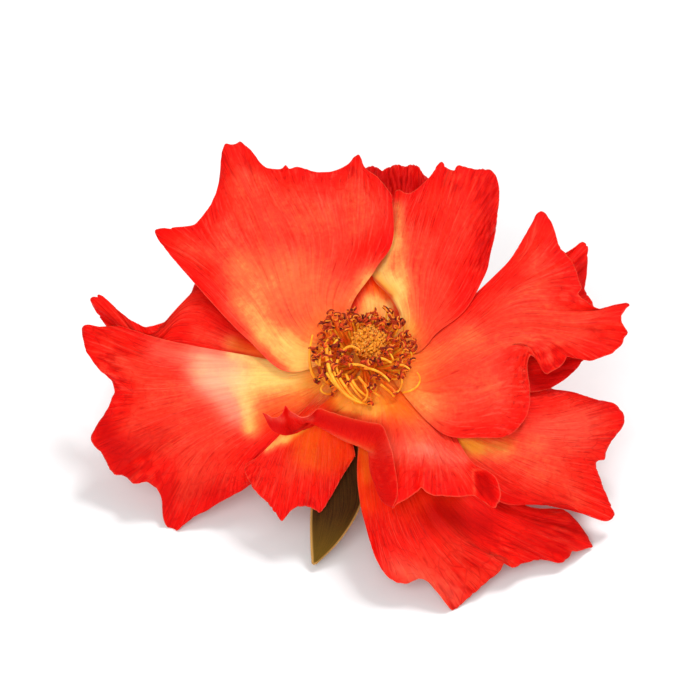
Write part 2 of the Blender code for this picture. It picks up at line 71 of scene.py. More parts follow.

# turn: the claw's place round the ring in degrees; seed: for its own ruffles and notches
# rows: x, y on the layout grid and lift off the open flower's plane in millimetres
# a row point of four numbers starts with the place of its partner in the last row, the cut edge
# folds: place across, width, lift in millimetres, where it starts along the blade
# nicks: place across, width, depth as a share of the blade's length
# crumples: x, y, radius and strength of the small creases
# yellow, amber: strokes of the tissue's own colour; then strokes of painted shade and of painted highlight;
# each from x, y to x, y, radius and strength
# flush: how far the red margin runs in over the whole blade
PETALS = {
    "petal_top_left": dict(ring=INNER_RING, turn=124, flush=0.0, seed=1, rows=[
        [(350, 318, 2.5), (330, 318, 3.0), (310, 340, 2.6), (303, 371, 1.7)],
        [(376, 268, 5.0), (350, 240, 5.5), (310, 235, 5.0), (262, 262, 4.3), (246, 338, 2.5)],
        [(0, 394, 235, 6.0), (2, 380, 200, 6.5), (9, 340, 185, 6.0), (17, 290, 185, 5.5),
         (30, 240, 200, 5.0), (36, 205, 240, 4.0), (43, 198, 288, 3.5)],
        [(393, 194, 6.0), (386, 184, 6.0), (378, 174, 6.0), (370, 168, 5.8), (365, 163, 5.5),
         (361, 153, 5.1), (359, 149, 5.0), (355, 151, 5.0), (350, 158, 5.0), (343, 163, 5.0),
         (336, 166, 5.0), (327, 168, 5.2), (317, 168, 5.0), (310, 167, 4.6), (303, 164, 4.4),
         (295, 163, 4.5), (288, 165, 4.7), (284, 161, 4.5), (281, 164, 4.5), (272, 165, 4.6),
         (264, 163, 4.5), (258, 158, 4.3), (252, 150, 4.0), (247, 144, 3.8), (242, 140, 3.6),
         (237, 136, 3.5), (233, 139, 3.5), (228, 140, 3.5), (223, 139, 3.5), (220, 144, 3.7),
         (218, 156, 3.9), (217, 170, 4.0), (214, 186, 4.0), (209, 200, 3.9), (203, 210, 3.7),
         (197, 218, 3.5), (192, 223, 3.4), (185, 224, 3.2), (172, 226, 3.0), (160, 227, 2.7),
         (153, 229, 2.5), (155, 236, 2.5), (162, 246, 2.6), (182, 270, 3.0)]],
        folds=[(0.07, 0.04, 0.5, 0.3), (0.20, 0.04, -0.7, 0.4), (0.32, 0.05, 0.8, 0.4),
               (0.44, 0.05, -0.6, 0.5), (0.55, 0.04, 0.7, 0.4), (0.66, 0.05, -0.7, 0.5),
               (0.80, 0.05, 0.7, 0.4), (0.92, 0.04, -0.4, 0.5)],
        nicks=[(0.30, 0.005, 0.006)], crumples=[(235, 165, 22, 0.8), (360, 175, 18, 0.6)],
        yellow=[(356, 352, 372, 280, 13, 0.72), (345, 362, 305, 366, 15, 0.96),
                (312, 360, 286, 346, 15, 0.62), (286, 346, 258, 314, 16, 0.42),
                (325, 345, 300, 275, 46, 0.46), (275, 295, 255, 225, 46, 0.34),
                (345, 290, 330, 240, 30, 0.16), (236, 305, 262, 334, 15, 0.36),
                (262, 336, 298, 364, 13, 0.54), (374, 262, 352, 300, 11, 0.34),
                (236, 270, 246, 290, 24, 0.50)],
        amber=[(356, 352, 330, 330, 16, 0.5)], shade=[(222, 150, 214, 190, 7, 0.3)]),
    "petal_top_right": dict(ring=INNER_RING, turn=60, flush=0.45, seed=2, rows=[
        [(418, 352, 2.7), (416, 332, 3.4), (400, 325, 3.0)],
        [(438, 332, 3.1), (428, 305, 4.3), (410, 296, 4.0), (392, 299, 2.8)],
        [(462, 314, 3.4), (445, 285, 4.9), (410, 270, 4.5), (374, 279, 2.5)],
        [(485, 277, 4.0), (465, 240, 5.0), (425, 230, 5.0), (395, 235, 3.5), (378, 250, 2.5)],
        [(492, 252, 4.0), (497, 234, 4.0), (500, 212, 4.0), (502, 192, 4.0), (501, 179, 4.0),
         (498, 171, 4.0), (493, 166, 4.0), (485, 165, 4.2), (478, 166, 4.4), (472, 164, 4.5),
         (466, 162, 4.5), (462, 161, 4.5), (459, 163, 4.5), (457, 167, 4.4), (450, 165, 4.0),
         (447, 160, 4.0), (444, 158, 4.0), (440, 161, 4.0), (437, 166, 4.2), (432, 173, 4.5),
         (424, 181, 4.5), (416, 188, 4.3), (409, 191, 4.0), (404, 189, 3.7), (400, 187, 3.5),
         (397, 188, 3.5), (395, 195, 3.5), (391, 199, 3.0), (382, 215, 2.5)]],
        folds=[(0.10, 0.05, -0.8, 0.2), (0.26, 0.05, 0.7, 0.4), (0.42, 0.04, -0.7, 0.5),
               (0.55, 0.04, 0.8, 0.3), (0.68, 0.05, -0.5, 0.4), (0.84, 0.05, 0.5, 0.2)],
        crumples=[(490, 185, 18, 1.5), (486, 225, 16, 1.3), (478, 262, 14, 1.1),
                  (455, 175, 16, 0.9)],
        yellow=[(398, 345, 396, 292, 17, 1.0), (392, 285, 374, 276, 14, 1.0),
                (400, 268, 399, 205, 11, 0.66), (418, 330, 424, 240, 22, 0.40),
                (383, 268, 393, 240, 8, 0.88), (404, 318, 407, 332, 6, 0.6),
                (446, 322, 444, 284, 14, 0.28)],
        amber=[(398, 340, 408, 330, 10, 0.5), (376, 278, 392, 293, 6, 0.7)],
        shade=[(494, 182, 484, 262, 13, 0.70), (373, 277, 391, 296, 2.2, 0.9),
              (391, 296, 400, 314, 2.0, 0.8)]),
    "petal_right": dict(ring=INNER_RING, turn=8, flush=0.0, seed=3, rows=[
        [(403, 394, 1.7), (415, 375, 2.5), (416, 346, 2.0)],
        [(0, 441, 432, 3.1), (6, 454, 402, 4.4), (10, 461, 374, 4.6), (18, 465, 354, 4.4),
         (27, 468, 342, 4.2), (41, 468, 330, 3.7), (51, 463, 320, 3.1), (56, 457, 311, 2.5)],
        [(0, 478, 436, 3.7), (3, 498, 412, 4.2), (6, 507, 388, 4.4), (9, 511, 362, 4.7),
         (10, 513, 352, 4.8), (14, 516, 344, 4.9), (18, 518, 338, 5.0), (23, 521, 330, 5.0),
         (27, 523, 324, 5.0), (33, 524, 316, 4.9), (38, 524, 306, 4.7), (41, 522, 296, 4.4),
         (46, 517, 284, 3.9), (51, 508, 274, 3.5), (56, 496, 275, 3.0)],
        [(0, 490, 436, 3.7), (3, 512, 413, 3.4), (6, 519, 388, 3.6), (9, 521, 360, 4.1),
         (10, 524, 352, 4.3), (14, 535, 351, 4.6), (18, 546, 344, 4.5), (23, 565, 338, 3.8),
         (27, 575, 328, 3.5), (33, 578, 317, 3.4), (38, 566, 305, 3.9), (41, 556, 292, 3.9),
         (46, 546, 268, 3.5), (51, 530, 248, 3.1), (56, 510, 261, 3.1)],
        [(498, 436, 3.2), (508, 432, 3.0), (517, 424, 2.8), (524, 414, 2.6), (527, 405, 2.7),
         (528, 396, 2.9), (528, 388, 3.0), (527, 378, 3.1), (526, 368, 3.3), (527, 360, 3.6),
         (530, 355, 3.9), (534, 358, 3.7), (538, 364, 3.4), (541, 370, 3.2), (545, 373, 3.0),
         (550, 370, 3.0), (556, 367, 2.9), (562, 362, 2.7), (566, 356, 2.5), (571, 357, 2.5),
         (577, 358, 2.4), (587, 360, 2.0), (598, 358, 1.9), (607, 354, 1.7), (613, 351, 1.5),
         (619, 345, 1.5), (623, 338, 1.5), (626, 332, 1.5), (623, 327, 1.7), (620, 322, 1.9),
         (621, 316, 1.8), (624, 311, 1.5), (627, 308, 1.2), (630, 305, 1.0), (626, 303, 1.2),
         (621, 305, 1.5), (612, 308, 1.9), (604, 309, 2.2), (597, 308, 2.6), (590, 304, 3.0),
         (583, 298, 3.3), (578, 294, 3.5), (582, 288, 3.2), (580, 281, 3.0), (577, 268, 3.0),
         (572, 258, 3.0), (567, 252, 3.0), (562, 245, 3.0), (558, 232, 2.8), (554, 220, 2.6),
         (549, 212, 2.5), (545, 210, 2.5), (541, 212, 2.5), (537, 219, 2.6), (531, 229, 2.8),
         (525, 239, 3.0), (519, 249, 3.0)]],
        folds=[(0.05, 0.04, 0.4, 0.4), (0.14, 0.04, -0.5, 0.5), (0.42, 0.03, -0.6, 0.4),
               (0.50, 0.03, 0.7, 0.3), (0.585, 0.025, -0.8, 0.4), (0.66, 0.03, 0.6, 0.3),
               (0.75, 0.03, -0.8, 0.4), (0.84, 0.04, 0.7, 0.4), (0.94, 0.04, -0.4, 0.4)],
        nicks=[(0.655, 0.006, 0.012)],
        crumples=[(545, 360, 20, 1.2), (570, 295, 14, 0.8), (600, 330, 20, 0.7)],
        yellow=[(400, 385, 425, 405, 14, 0.44), (410, 370, 466, 338, 25, 0.44),
                (430, 412, 490, 388, 30, 0.46), (480, 340, 550, 322, 26, 0.28),
                (525, 338, 562, 340, 9, 0.24)],
        shade=[(536, 366, 552, 372, 7, 0.45), (590, 302, 602, 309, 6, 0.4)]),
    "petal_front": dict(ring=INNER_RING, turn=-83, flush=0.1, seed=4, rows=[
        [(0, 341, 388, 2.0), (2, 347, 391, 2.0), (5, 352, 394, 2.0), (10, 358, 396, 2.0),
         (12, 362, 398, 2.0), (14, 367, 400, 1.9), (16, 372, 401, 2.0), (18, 377, 402, 2.0),
         (20, 381, 402, 2.0), (22, 386, 402, 2.0), (25, 391, 402, 2.0), (28, 396, 402, 1.8),
         (30, 401, 402, 1.6), (32, 405, 400, 1.4), (34, 411, 397, 1.2), (36, 419, 391, 0.9)],
        [(0, 275, 430, 2.5), (2, 284, 433, 2.6), (5, 295, 426, 2.7), (10, 314, 422, 2.8),
         (12, 346, 438, 3.0), (14, 368, 446, 3.0), (16, 373, 456, 3.0), (18, 376, 480, 3.2),
         (20, 387, 496, 3.6), (22, 402, 468, 4.6), (25, 422, 459, 4.6), (28, 438, 457, 4.3),
         (30, 450, 459, 4.0), (32, 460, 463, 3.8), (34, 467, 464, 4.2), (36, 470, 460, 4.6)],
        [(264, 412, 4.6), (269, 414, 4.7), (275, 417, 4.9), (280, 416, 5.2), (284, 412, 5.7),
         (287, 405, 6.2), (290, 409, 6.2), (296, 413, 6.4), (303, 416, 6.6), (311, 414, 6.8),
         (318, 408, 7.1), (330, 411, 7.2), (350, 417, 7.2), (366, 421, 7.1), (380, 424, 7.0),
         (386, 436, 7.0), (391, 452, 7.0), (393, 465, 6.8), (395, 478, 6.6), (395, 492, 5.8),
         (391, 503, 4.8), (396, 498, 4.5), (402, 495, 4.4), (410, 490, 4.7), (416, 486, 4.9),
         (419, 483, 5.0), (423, 486, 4.9), (432, 490, 4.6), (446, 491, 4.4), (458, 491, 4.4),
         (469, 490, 4.4), (479, 496, 4.9), (489, 501, 5.6), (494, 493, 6.6), (494, 483, 7.6),
         (490, 473, 8.3), (482, 466, 8.4)]],
        folds=[(0.70, 0.020, 0.3, 0.5), (0.76, 0.020, -0.3, 0.5)],
        crumples=[(440, 470, 30, 0.6), (385, 470, 20, 0.7)],
        yellow=[(346, 401, 372, 406, 12, 0.92), (352, 404, 420, 416, 19, 0.40),
                (390, 440, 408, 450, 15, 0.30), (420, 437, 462, 450, 18, 0.36),
                # these two thin strokes paint a highlight along the rim of the rolled flap
                (470, 468, 471, 490, 1.8, 0.45), (472, 467, 484, 464, 1.8, 0.40),
                (320, 427, 372, 449, 3.0, 0.5)],
        amber=[(337, 440, 372, 446, 7, 0.6), (335, 400, 405, 406, 16, 0.85)],
        highlight=[(394, 446, 426, 449, 12, 0.09), (420, 448, 458, 457, 8, 0.12),
              (270, 415, 283, 418, 3, 0.22), (292, 413, 312, 417, 2.5, 0.20),
              (322, 429, 372, 451, 3.0, 0.12)],
        shade=[(318, 415, 378, 430, 8, 1.0), (268, 422, 290, 428, 7, 0.9),
              (475, 474, 478, 489, 4.5, 1.0), (482, 473, 487, 492, 5.5, 1.0),
              (380, 440, 386, 494, 7, 0.50), (404, 481, 462, 485, 8, 0.16)]),
    "petal_right_low": dict(ring=OUTER_RING, turn=-27, flush=0.0, seed=5, rows=[
        [(412, 405, 0.2), (424, 398, 0.4), (430, 388, -0.1)],
        [(447, 452, 0.9), (465, 435, 1.5), (480, 415, 1.2), (485, 400, 0.2)],
        [(495, 498, -2.7), (520, 470, -1.8), (540, 440, -1.2), (545, 415, -1.6), (528, 389, -1.2)],
        [(555, 497, -7.0), (560, 501, -7.5), (567, 504, -8.2), (577, 510, -9.6), (590, 515, -11.0),
         (600, 519, -12.4), (608, 518, -13.2), (612, 514, -13.5), (610, 508, -12.9), (606, 499, -12.2),
         (602, 489, -11.2), (598, 478, -10.2), (595, 468, -9.4), (594, 463, -9.1), (597, 460, -9.1),
         (603, 459, -9.4), (604, 456, -9.3), (606, 449, -9.1), (610, 442, -9.0), (614, 437, -9.1),
         (620, 430, -9.4), (624, 422, -9.5), (624, 416, -9.4), (620, 409, -8.7), (614, 404, -8.1),
         (606, 402, -7.5), (597, 400, -6.6), (585, 396, -5.5), (575, 393, -4.8), (565, 391, -4.1),
         (552, 389, -3.1), (543, 385, -2.6)]],
        folds=[(0.08, 0.04, 0.5, 0.3), (0.22, 0.05, -0.7, 0.3), (0.36, 0.04, 0.7, 0.4),
               (0.50, 0.04, -0.6, 0.3), (0.64, 0.05, 0.8, 0.3), (0.78, 0.04, -0.6, 0.4),
               (0.90, 0.04, 0.5, 0.3)],
        crumples=[(600, 430, 18, 0.8), (560, 500, 12, 0.8)],
        yellow=[(434, 430, 474, 446, 7, 0.68), (466, 446, 500, 448, 12, 0.36),
                (480, 450, 530, 445, 28, 0.42), (540, 440, 580, 432, 24, 0.22)],
        amber=[(434, 430, 474, 446, 9, 1.0), (474, 444, 505, 444, 8, 0.5)],
        shade=[(510, 492, 556, 500, 9, 0.4), (604, 404, 622, 420, 12, 0.35)],
        highlight=[(545, 434, 580, 428, 20, 0.05)]),
    "petal_bottom": dict(ring=OUTER_RING, turn=-68, flush=0.80, seed=6, rows=[
        [(362, 415, 0.0), (378, 418, 0.3), (395, 415, 0.1)],
        [(357, 462, -1.0), (385, 470, 0.0), (415, 462, 0.0), (438, 448, -2.4)],
        [(360, 500, -2.5), (390, 530, -2.5), (430, 530, -2.0), (475, 515, -3.0), (515, 500, -6.0)],
        [(366, 524, -3.6), (370, 538, -4.2), (375, 552, -5.0), (381, 563, -5.8), (388, 571, -6.4),
         (396, 576, -6.8), (403, 577, -7.0), (411, 574, -7.0), (418, 572, -7.1), (424, 574, -7.4),
         (431, 581, -8.2), (437, 588, -9.0), (444, 597, -10.1), (450, 603, -11.2), (455, 600, -11.0),
         (461, 594, -10.6), (469, 588, -10.2), (479, 579, -9.8), (490, 571, -9.6), (497, 564, -9.4),
         (500, 558, -9.1), (502, 554, -9.0), (504, 559, -9.2), (507, 562, -9.5), (512, 562, -9.9),
         (519, 559, -10.1), (528, 557, -10.4), (537, 556, -10.9), (546, 557, -11.7), (553, 559, -12.4),
         (559, 558, -12.9), (564, 554, -13.1), (568, 549, -13.3), (575, 548, -14.1), (583, 546, -14.9),
         (589, 545, -15.5), (587, 539, -14.7), (582, 531, -13.6), (575, 521, -12.6), (568, 513, -11.8),
         (560, 508, -11.0)]],
        folds=[(0.06, 0.04, 0.5, 0.3), (0.18, 0.04, -0.7, 0.4), (0.30, 0.05, 0.9, 0.3),
               (0.42, 0.04, -0.7, 0.4), (0.50, 0.03, -0.7, 0.2), (0.57, 0.03, 1.0, 0.3),
               (0.68, 0.04, -0.8, 0.4), (0.80, 0.04, 0.8, 0.4), (0.91, 0.04, -0.5, 0.4)],
        crumples=[(560, 530, 22, 1.1), (500, 545, 16, 0.8), (450, 580, 20, 0.7)],
        yellow=[(364, 440, 367, 475, 9, 0.40), (430, 560, 450, 545, 30, 0.30),
                (396, 562, 450, 592, 12, 0.24), (470, 574, 500, 560, 12, 0.24)],
        amber=[(362, 440, 366, 500, 12, 1.0), (400, 490, 440, 500, 22, 0.45)],
        shade=[(436, 508, 480, 522, 17, 0.95), (530, 520, 565, 538, 20, 0.50),
              (362, 440, 366, 490, 9, 0.30), (430, 530, 470, 550, 30, 0.22),
              (520, 540, 560, 548, 10, 0.45)],
        highlight=[(396, 560, 450, 590, 12, 0.07)]),
    "petal_low_left": dict(ring=INNER_RING, turn=-136, flush=0.2, seed=7, rows=[
        [(326, 386, 0.6), (332, 395, 0.5), (342, 401, 0.2)],
        [(269, 446, -2.4), (287, 435, -0.9), (303, 427, -0.1), (328, 430, -0.3), (354, 447, -0.9)],
        [(247, 463, -6.1), (246, 468, -6.4), (248, 475, -6.7), (252, 482, -6.9), (257, 489, -7.0),
         (263, 495, -7.0), (269, 500, -7.0), (275, 508, -7.2), (280, 514, -7.5), (283, 517, -7.5),
         (287, 513, -7.2), (292, 507, -6.8), (297, 504, -6.5), (304, 503, -6.5), (311, 504, -6.6),
         (316, 507, -6.9), (320, 509, -7.0), (324, 505, -6.5), (328, 499, -6.0), (334, 489, -5.0),
         (340, 478, -4.0), (347, 467, -3.0), (354, 456, -2.0)]],
        folds=[(0.16, 0.05, 0.4, 0.5), (0.34, 0.06, -0.6, 0.5), (0.50, 0.05, 0.6, 0.4),
               (0.66, 0.05, -0.5, 0.5), (0.84, 0.05, 0.5, 0.5)],
        crumples=[(255, 480, 12, 0.6), (310, 500, 14, 0.6)],
        yellow=[(268, 447, 286, 437, 6, 0.85), (286, 437, 305, 426, 6, 0.90),
                (335, 385, 320, 395, 14, 0.6), (262, 458, 300, 462, 16, 0.14)],
        amber=[(306, 436, 335, 446, 20, 1.0), (310, 455, 350, 456, 14, 0.80)]),
    "petal_left": dict(ring=OUTER_RING, turn=200, flush=0.1, seed=8, rows=[
        [(302, 364, 0.8), (303, 386, 0.2), (318, 404, -1.0)],
        [(245, 355, 0.4), (240, 385, -0.1), (245, 415, -1.4), (272, 444, -3.6)],
        [(165, 340, -1.0), (150, 375, -3.0), (160, 415, -5.0), (190, 455, -7.5), (252, 472, -8.2)],
        [(118, 326, -3.5), (98, 327, -4.5), (80, 327, -5.8), (79, 330, -5.9), (80, 336, -6.0),
         (82, 343, -6.0), (84, 351, -6.2), (88, 357, -6.4), (93, 364, -6.6), (99, 371, -6.8),
         (106, 377, -7.0), (111, 382, -7.0), (113, 388, -7.2), (114, 393, -7.4), (111, 398, -7.8),
         (109, 404, -8.3), (105, 412, -8.9), (100, 420, -9.6), (95, 428, -10.4), (92, 435, -11.0),
         (92, 440, -11.3), (96, 446, -11.4), (101, 451, -11.5), (105, 457, -11.6), (108, 463, -11.8),
         (111, 470, -12.0), (116, 474, -12.0), (123, 475, -12.0), (129, 478, -12.0), (133, 482, -12.0),
         (139, 483, -12.0), (146, 481, -12.0), (153, 484, -12.3), (159, 490, -13.0), (162, 497, -13.6),
         (163, 506, -14.9), (164, 516, -16.3), (167, 524, -17.8), (173, 529, -18.8), (179, 528, -17.6),
         (184, 524, -16.4), (190, 519, -15.6), (198, 514, -14.8), (208, 509, -14.0), (219, 502, -13.0),
         (232, 495, -12.2), (243, 489, -11.5), (250, 484, -11.1), (256, 480, -10.7)]],
        folds=[(0.05, 0.03, 0.5, 0.4), (0.13, 0.04, -0.7, 0.4), (0.22, 0.03, 0.7, 0.4),
               (0.33, 0.04, -0.6, 0.3), (0.43, 0.04, 0.9, 0.3), (0.53, 0.03, -0.7, 0.5),
               (0.60, 0.03, 0.8, 0.5), (0.68, 0.03, -0.9, 0.4), (0.76, 0.03, 0.7, 0.5),
               (0.85, 0.05, -0.5, 0.4), (0.94, 0.04, 0.5, 0.3)],
        nicks=[(0.60, 0.004, 0.010), (0.64, 0.004, 0.008)],
        crumples=[(112, 368, 16, 2.0), (142, 474, 18, 2.0), (150, 460, 16, 0.9), (100, 340, 14, 0.8)],
        yellow=[(320, 380, 268, 378, 14, 1.0), (272, 378, 245, 380, 18, 0.97),
                (245, 395, 251, 428, 12, 0.90), (235, 378, 205, 372, 22, 0.66),
                (200, 360, 165, 347, 20, 0.26), (265, 405, 300, 400, 22, 0.50),
                (232, 354, 300, 372, 9, 0.85)],
        amber=[(312, 380, 334, 394, 12, 0.70), (262, 420, 300, 402, 16, 0.4)],
        highlight=[(206, 362, 230, 368, 17, 0.44), (213, 384, 236, 412, 13, 0.40),
              (206, 377, 232, 384, 16, 0.34), (160, 352, 186, 356, 14, 0.12)],
        shade=[(120, 450, 160, 440, 22, 0.55), (140, 494, 215, 490, 20, 0.55),
              (165, 505, 172, 522, 9, 0.3), (102, 426, 118, 456, 15, 0.90)]),
    "petal_left_back": dict(ring=OUTER_RING, turn=160, flush=0.5, seed=9, rows=[
        [(322, 332, 0.0), (312, 345, 0.2), (308, 360, -0.5)],
        [(262, 290, 0.5), (240, 315, 0.5), (240, 340, -0.3), (250, 362, -1.4)],
        [(215, 262, 0.5), (196, 285, 0.3), (180, 315, -0.4), (170, 335, -2.4), (172, 350, -3.4)],
        [(0, 209, 260, 0.2), (2, 191, 292, -0.3), (5, 177, 317, -1.0), (8, 153, 332, -2.4),
         (10, 147, 336, -3.0), (14, 143, 340, -3.6), (18, 143, 346, -4.6), (21, 150, 353, -5.0)],
        [(205, 255, 0.0), (193, 282, -0.5), (187, 298, -0.8), (182, 308, -0.9), (176, 315, -1.1),
         (168, 320, -1.5), (160, 323, -2.0), (150, 326, -2.5), (143, 327, -2.8), (136, 324, -2.9),
         (128, 320, -3.1), (120, 314, -3.2), (111, 307, -3.3), (104, 300, -3.4), (97, 296, -3.5),
         (91, 298, -3.6), (88, 301, -3.8), (91, 307, -4.4), (95, 314, -5.2), (104, 326, -5.9),
         (116, 338, -6.2), (130, 350, -6.2)]],
        folds=[(0.20, 0.05, -0.4, 0.3), (0.42, 0.05, 0.4, 0.4)],
        crumples=[(110, 312, 16, 0.8)],
        yellow=[(270, 362, 232, 344, 9, 0.50), (228, 342, 196, 334, 11, 0.38)],
        amber=[(290, 366, 240, 345, 12, 0.7)],
        shade=[(203, 282, 246, 330, 15, 1.0), (97, 318, 110, 322, 8, 0.6)]),
    "petal_top_back": dict(ring=OUTER_RING, turn=80, flush=0.85, seed=10, rows=[
        [(405, 331, 0.2), (376, 318, 0.9), (350, 322, 0.6)],
        [(428, 272, 0.8), (396, 261, 1.7), (360, 260, 2.0), (325, 275, 1.6)],
        [(440, 215, 1.1), (405, 205, 1.6), (365, 205, 2.0), (325, 215, 1.7)],
        [(434, 178, 1.1), (430, 173, 1.2), (427, 171, 1.2), (424, 167, 1.3), (421, 162, 1.4),
         (418, 160, 1.5), (412, 160, 1.6), (407, 162, 1.7), (400, 160, 1.9), (393, 161, 1.7),
         (388, 163, 1.7), (383, 166, 1.8), (378, 163, 1.6), (372, 161, 1.5), (367, 163, 1.5),
         (358, 172, 1.4), (338, 182, 1.4)]],
        folds=[(0.10, 0.04, 0.7, 0.6), (0.22, 0.03, -0.9, 0.6), (0.34, 0.04, 1.0, 0.6),
               (0.46, 0.03, -0.9, 0.6), (0.58, 0.04, 0.9, 0.6), (0.72, 0.04, -0.7, 0.6)],
        crumples=[(400, 170, 26, 2.0)],
        yellow=[(366, 325, 371, 302, 14, 0.95), (388, 324, 388, 308, 11, 0.92)],
        amber=[(366, 280, 388, 290, 9, 1.0)], shade=[(370, 172, 425, 180, 18, 1.0)]),
    "petal_right_back": dict(ring=OUTER_RING, turn=17, flush=0.85, seed=11, rows=[
        [(415, 372, 0.2), (422, 358, 0.2), (418, 342, -0.3)],
        [(472, 392, 1.0), (480, 365, 0.8), (475, 330, 0.6), (460, 308, 0.2)],
        [(530, 392, -0.2), (545, 360, 0.0), (545, 310, 0.2), (530, 270, 0.2)],
        [(548, 389, -1.0), (560, 382, -1.3), (572, 373, -1.6), (582, 362, -2.0), (598, 346, -2.0),
         (603, 325, -2.0), (596, 305, -1.5), (588, 291, -1.0), (590, 272, -1.0), (591, 256, -1.0),
         (590, 243, -0.9), (587, 241, -0.8), (580, 245, -0.5), (570, 251, -0.2), (555, 255, 0.0)]],
        folds=[(0.20, 0.05, 0.4, 0.3), (0.50, 0.05, -0.4, 0.3), (0.80, 0.05, 0.4, 0.4)],
        crumples=[(585, 265, 16, 1.0)],
        yellow=[(420, 360, 450, 330, 14, 0.5)],
        shade=[(540, 382, 575, 368, 18, 0.9), (586, 262, 588, 288, 8, 0.9)]),
}
# strokes that every petal has at its claw
CLAW_STROKES = {"yellow": [(350, 362, 380, 364, 42, 0.90)], "amber": [(346, 366, 384, 368, 45, 0.85)]}


def drawn(x, y, lift):
    up = (GRID_Y - y) * GRID
    near = lift * MM - PLANE_SLOPE * up
    return CENTRE + RIGHT * (x - GRID_X) * GRID + UP * up + NEAR * near


def drawn_row(row):
    return np.array([drawn(*point[-3:]) for point in row])


def partners(row):
    return [point[0] for point in row] if len(row[0]) == 4 else None


def around(angle, radius, height):
    ring = RIGHT * math.cos(angle) + OUTWARD * math.sin(angle)
    return CENTRE + ring * radius + AXIS * height


def marks_along(points):
    steps = np.linalg.norm(np.diff(points, axis=0), axis=-1)
    steps = steps.reshape(len(steps), -1).mean(axis=1)
    return np.concatenate(([0.0], np.cumsum(steps))) / steps.sum()


def smooth(points, marks, places, column=()):
    slopes = np.gradient(points, marks, axis=0)
    at = np.clip(np.searchsorted(marks, places, side="right") - 1, 0, len(marks) - 2)
    start, end = (at, *column), (at + 1, *column)
    width = (marks[at + 1] - marks[at])[..., None]
    t = (places - marks[at])[..., None] / width
    return (points[start] * (2 * t**3 - 3 * t**2 + 1) + slopes[start] * width * (t**3 - 2 * t**2 + t)
            + points[end] * (3 * t**2 - 2 * t**3) + slopes[end] * width * (t**3 - t**2))


def blade_sheet(rows, along, cut, pins=None):
    places = np.linspace(0.0, 1.0, len(cut))
    edge_marks = marks_along(rows[-1])
    lines = []
    for row, pin in zip(rows, pins or [None] * len(rows)):
        marks = marks_along(row) if pin is None else edge_marks[pin]
        lines.append(smooth(row, marks, places))
    lines = np.array(lines)
    shares = np.linspace(0.0, 1.0, along + 1)[:, None] * (1.0 - cut)
    return smooth(lines, marks_along(lines), shares, (np.arange(len(cut)),))


def sheet_normals(points):
    normals = np.cross(np.gradient(points, axis=0), np.gradient(points, axis=1))
    return normals / np.linalg.norm(normals, axis=2, keepdims=True)


def joined(one, two):
    return 1.0 - (1.0 - one) * (1.0 - two)


def stroke_mask(x, y, strokes):
    mask = np.zeros_like(x)
    for x1, y1, x2, y2, radius, strength in strokes:
        dx, dy = x2 - x1, y2 - y1
        share = np.clip(((x - x1) * dx + (y - y1) * dy) / (dx * dx + dy * dy), 0.0, 1.0)
        apart = np.hypot(x - x1 - share * dx, y - y1 - share * dy)
        mask = joined(mask, strength * np.exp(-((apart / radius) ** 2)))
    return mask


def edge_distance(points):
    steps = np.linalg.norm(np.diff(points, axis=0), axis=2)
    to_tip = np.pad(np.cumsum(steps[::-1], axis=0)[::-1], ((0, 1), (0, 0)))
    across = np.linalg.norm(np.diff(points, axis=1), axis=2)
    run = np.pad(np.cumsum(across, axis=1), ((0, 0), (1, 0)))
    return np.minimum(to_tip, np.minimum(run, run[:, -1:] - run)) / MM


# waves of the margin: how many across, height in millimetres, and how soon each fades inwards
EDGE_WAVES = ((3.1, 0.16, 2), (7.3, 0.14, 3), (14.7, 0.09, 4), (29.0, 0.05, 6))
WAVE_SWAY = 0.036
FOLD_POWER = 1.5
# fine creases and wide puckers: scale across, scale along and step from petal to petal in the noise
CREASE_GRAIN = (42.0, 19.0, 7.7)
PUCKER_GRAIN = (15.0, 7.0, 3.1)
CREASE_LEAST = 0.03
CREASE_LIFT = 0.34
PUCKER_LIFT = 0.26
CALM_SIDE = 0.03
NEIGHBOURS = 3


def grain_at(u, v, seed, grain):
    return noise.noise(Vector((u * grain[0], v * grain[1], seed * grain[2])))


def ruffle(points, folds, creases, seed):
    rows, columns = points.shape[:2]
    s = np.linspace(0.0, 1.0, rows)[:, None]
    t = np.linspace(0.0, 1.0, columns)
    rng = random.Random(seed)
    lift = np.zeros((rows, columns))
    for place, width, height, start in folds:
        rise = np.clip((s - start) / (1.0 - start), 0.0, 1.0)
        lift += height * np.exp(-(((t - place) / width) ** 2)) * rise**FOLD_POWER
    for turns, height, power in EDGE_WAVES:
        phase = rng.uniform(0.0, 6.28)
        sway = WAVE_SWAY * np.sin(3.0 * s + phase)
        lift += height * s**power * np.sin(2 * math.pi * turns * (t + sway) + phase)
    for i in range(rows):
        for j in range(columns):
            u, v = j / columns, i / rows
            lift[i, j] += (CREASE_LEAST + CREASE_LIFT * creases[i, j]) * grain_at(u, v, seed, CREASE_GRAIN)
            lift[i, j] += PUCKER_LIFT * grain_at(u, v, seed, PUCKER_GRAIN) * v
    lift *= np.clip(np.minimum(t, 1.0 - t) / CALM_SIDE, 0.15, 1.0)
    n = NEIGHBOURS
    wide = np.pad(lift, n, mode="edge")
    level = (wide[:-2 * n, n:-n] + wide[2 * n:, n:-n] + wide[n:-n, :-2 * n] + wide[n:-n, 2 * n:]) / 4.0
    out = s[..., None] ** 2
    way = sheet_normals(points) * (1.0 - out) + np.array(NEAR) * out
    return points + way * (lift * MM)[..., None], level - lift


# small notches of the margin: widths as shares of its length, depth and reach as shares of the blade's
NOTCHES = 46
NOTCH_WIDTHS = (0.003, 0.010)
NOTCH_DEPTH = 0.0045
EDGE_REACH = 0.006


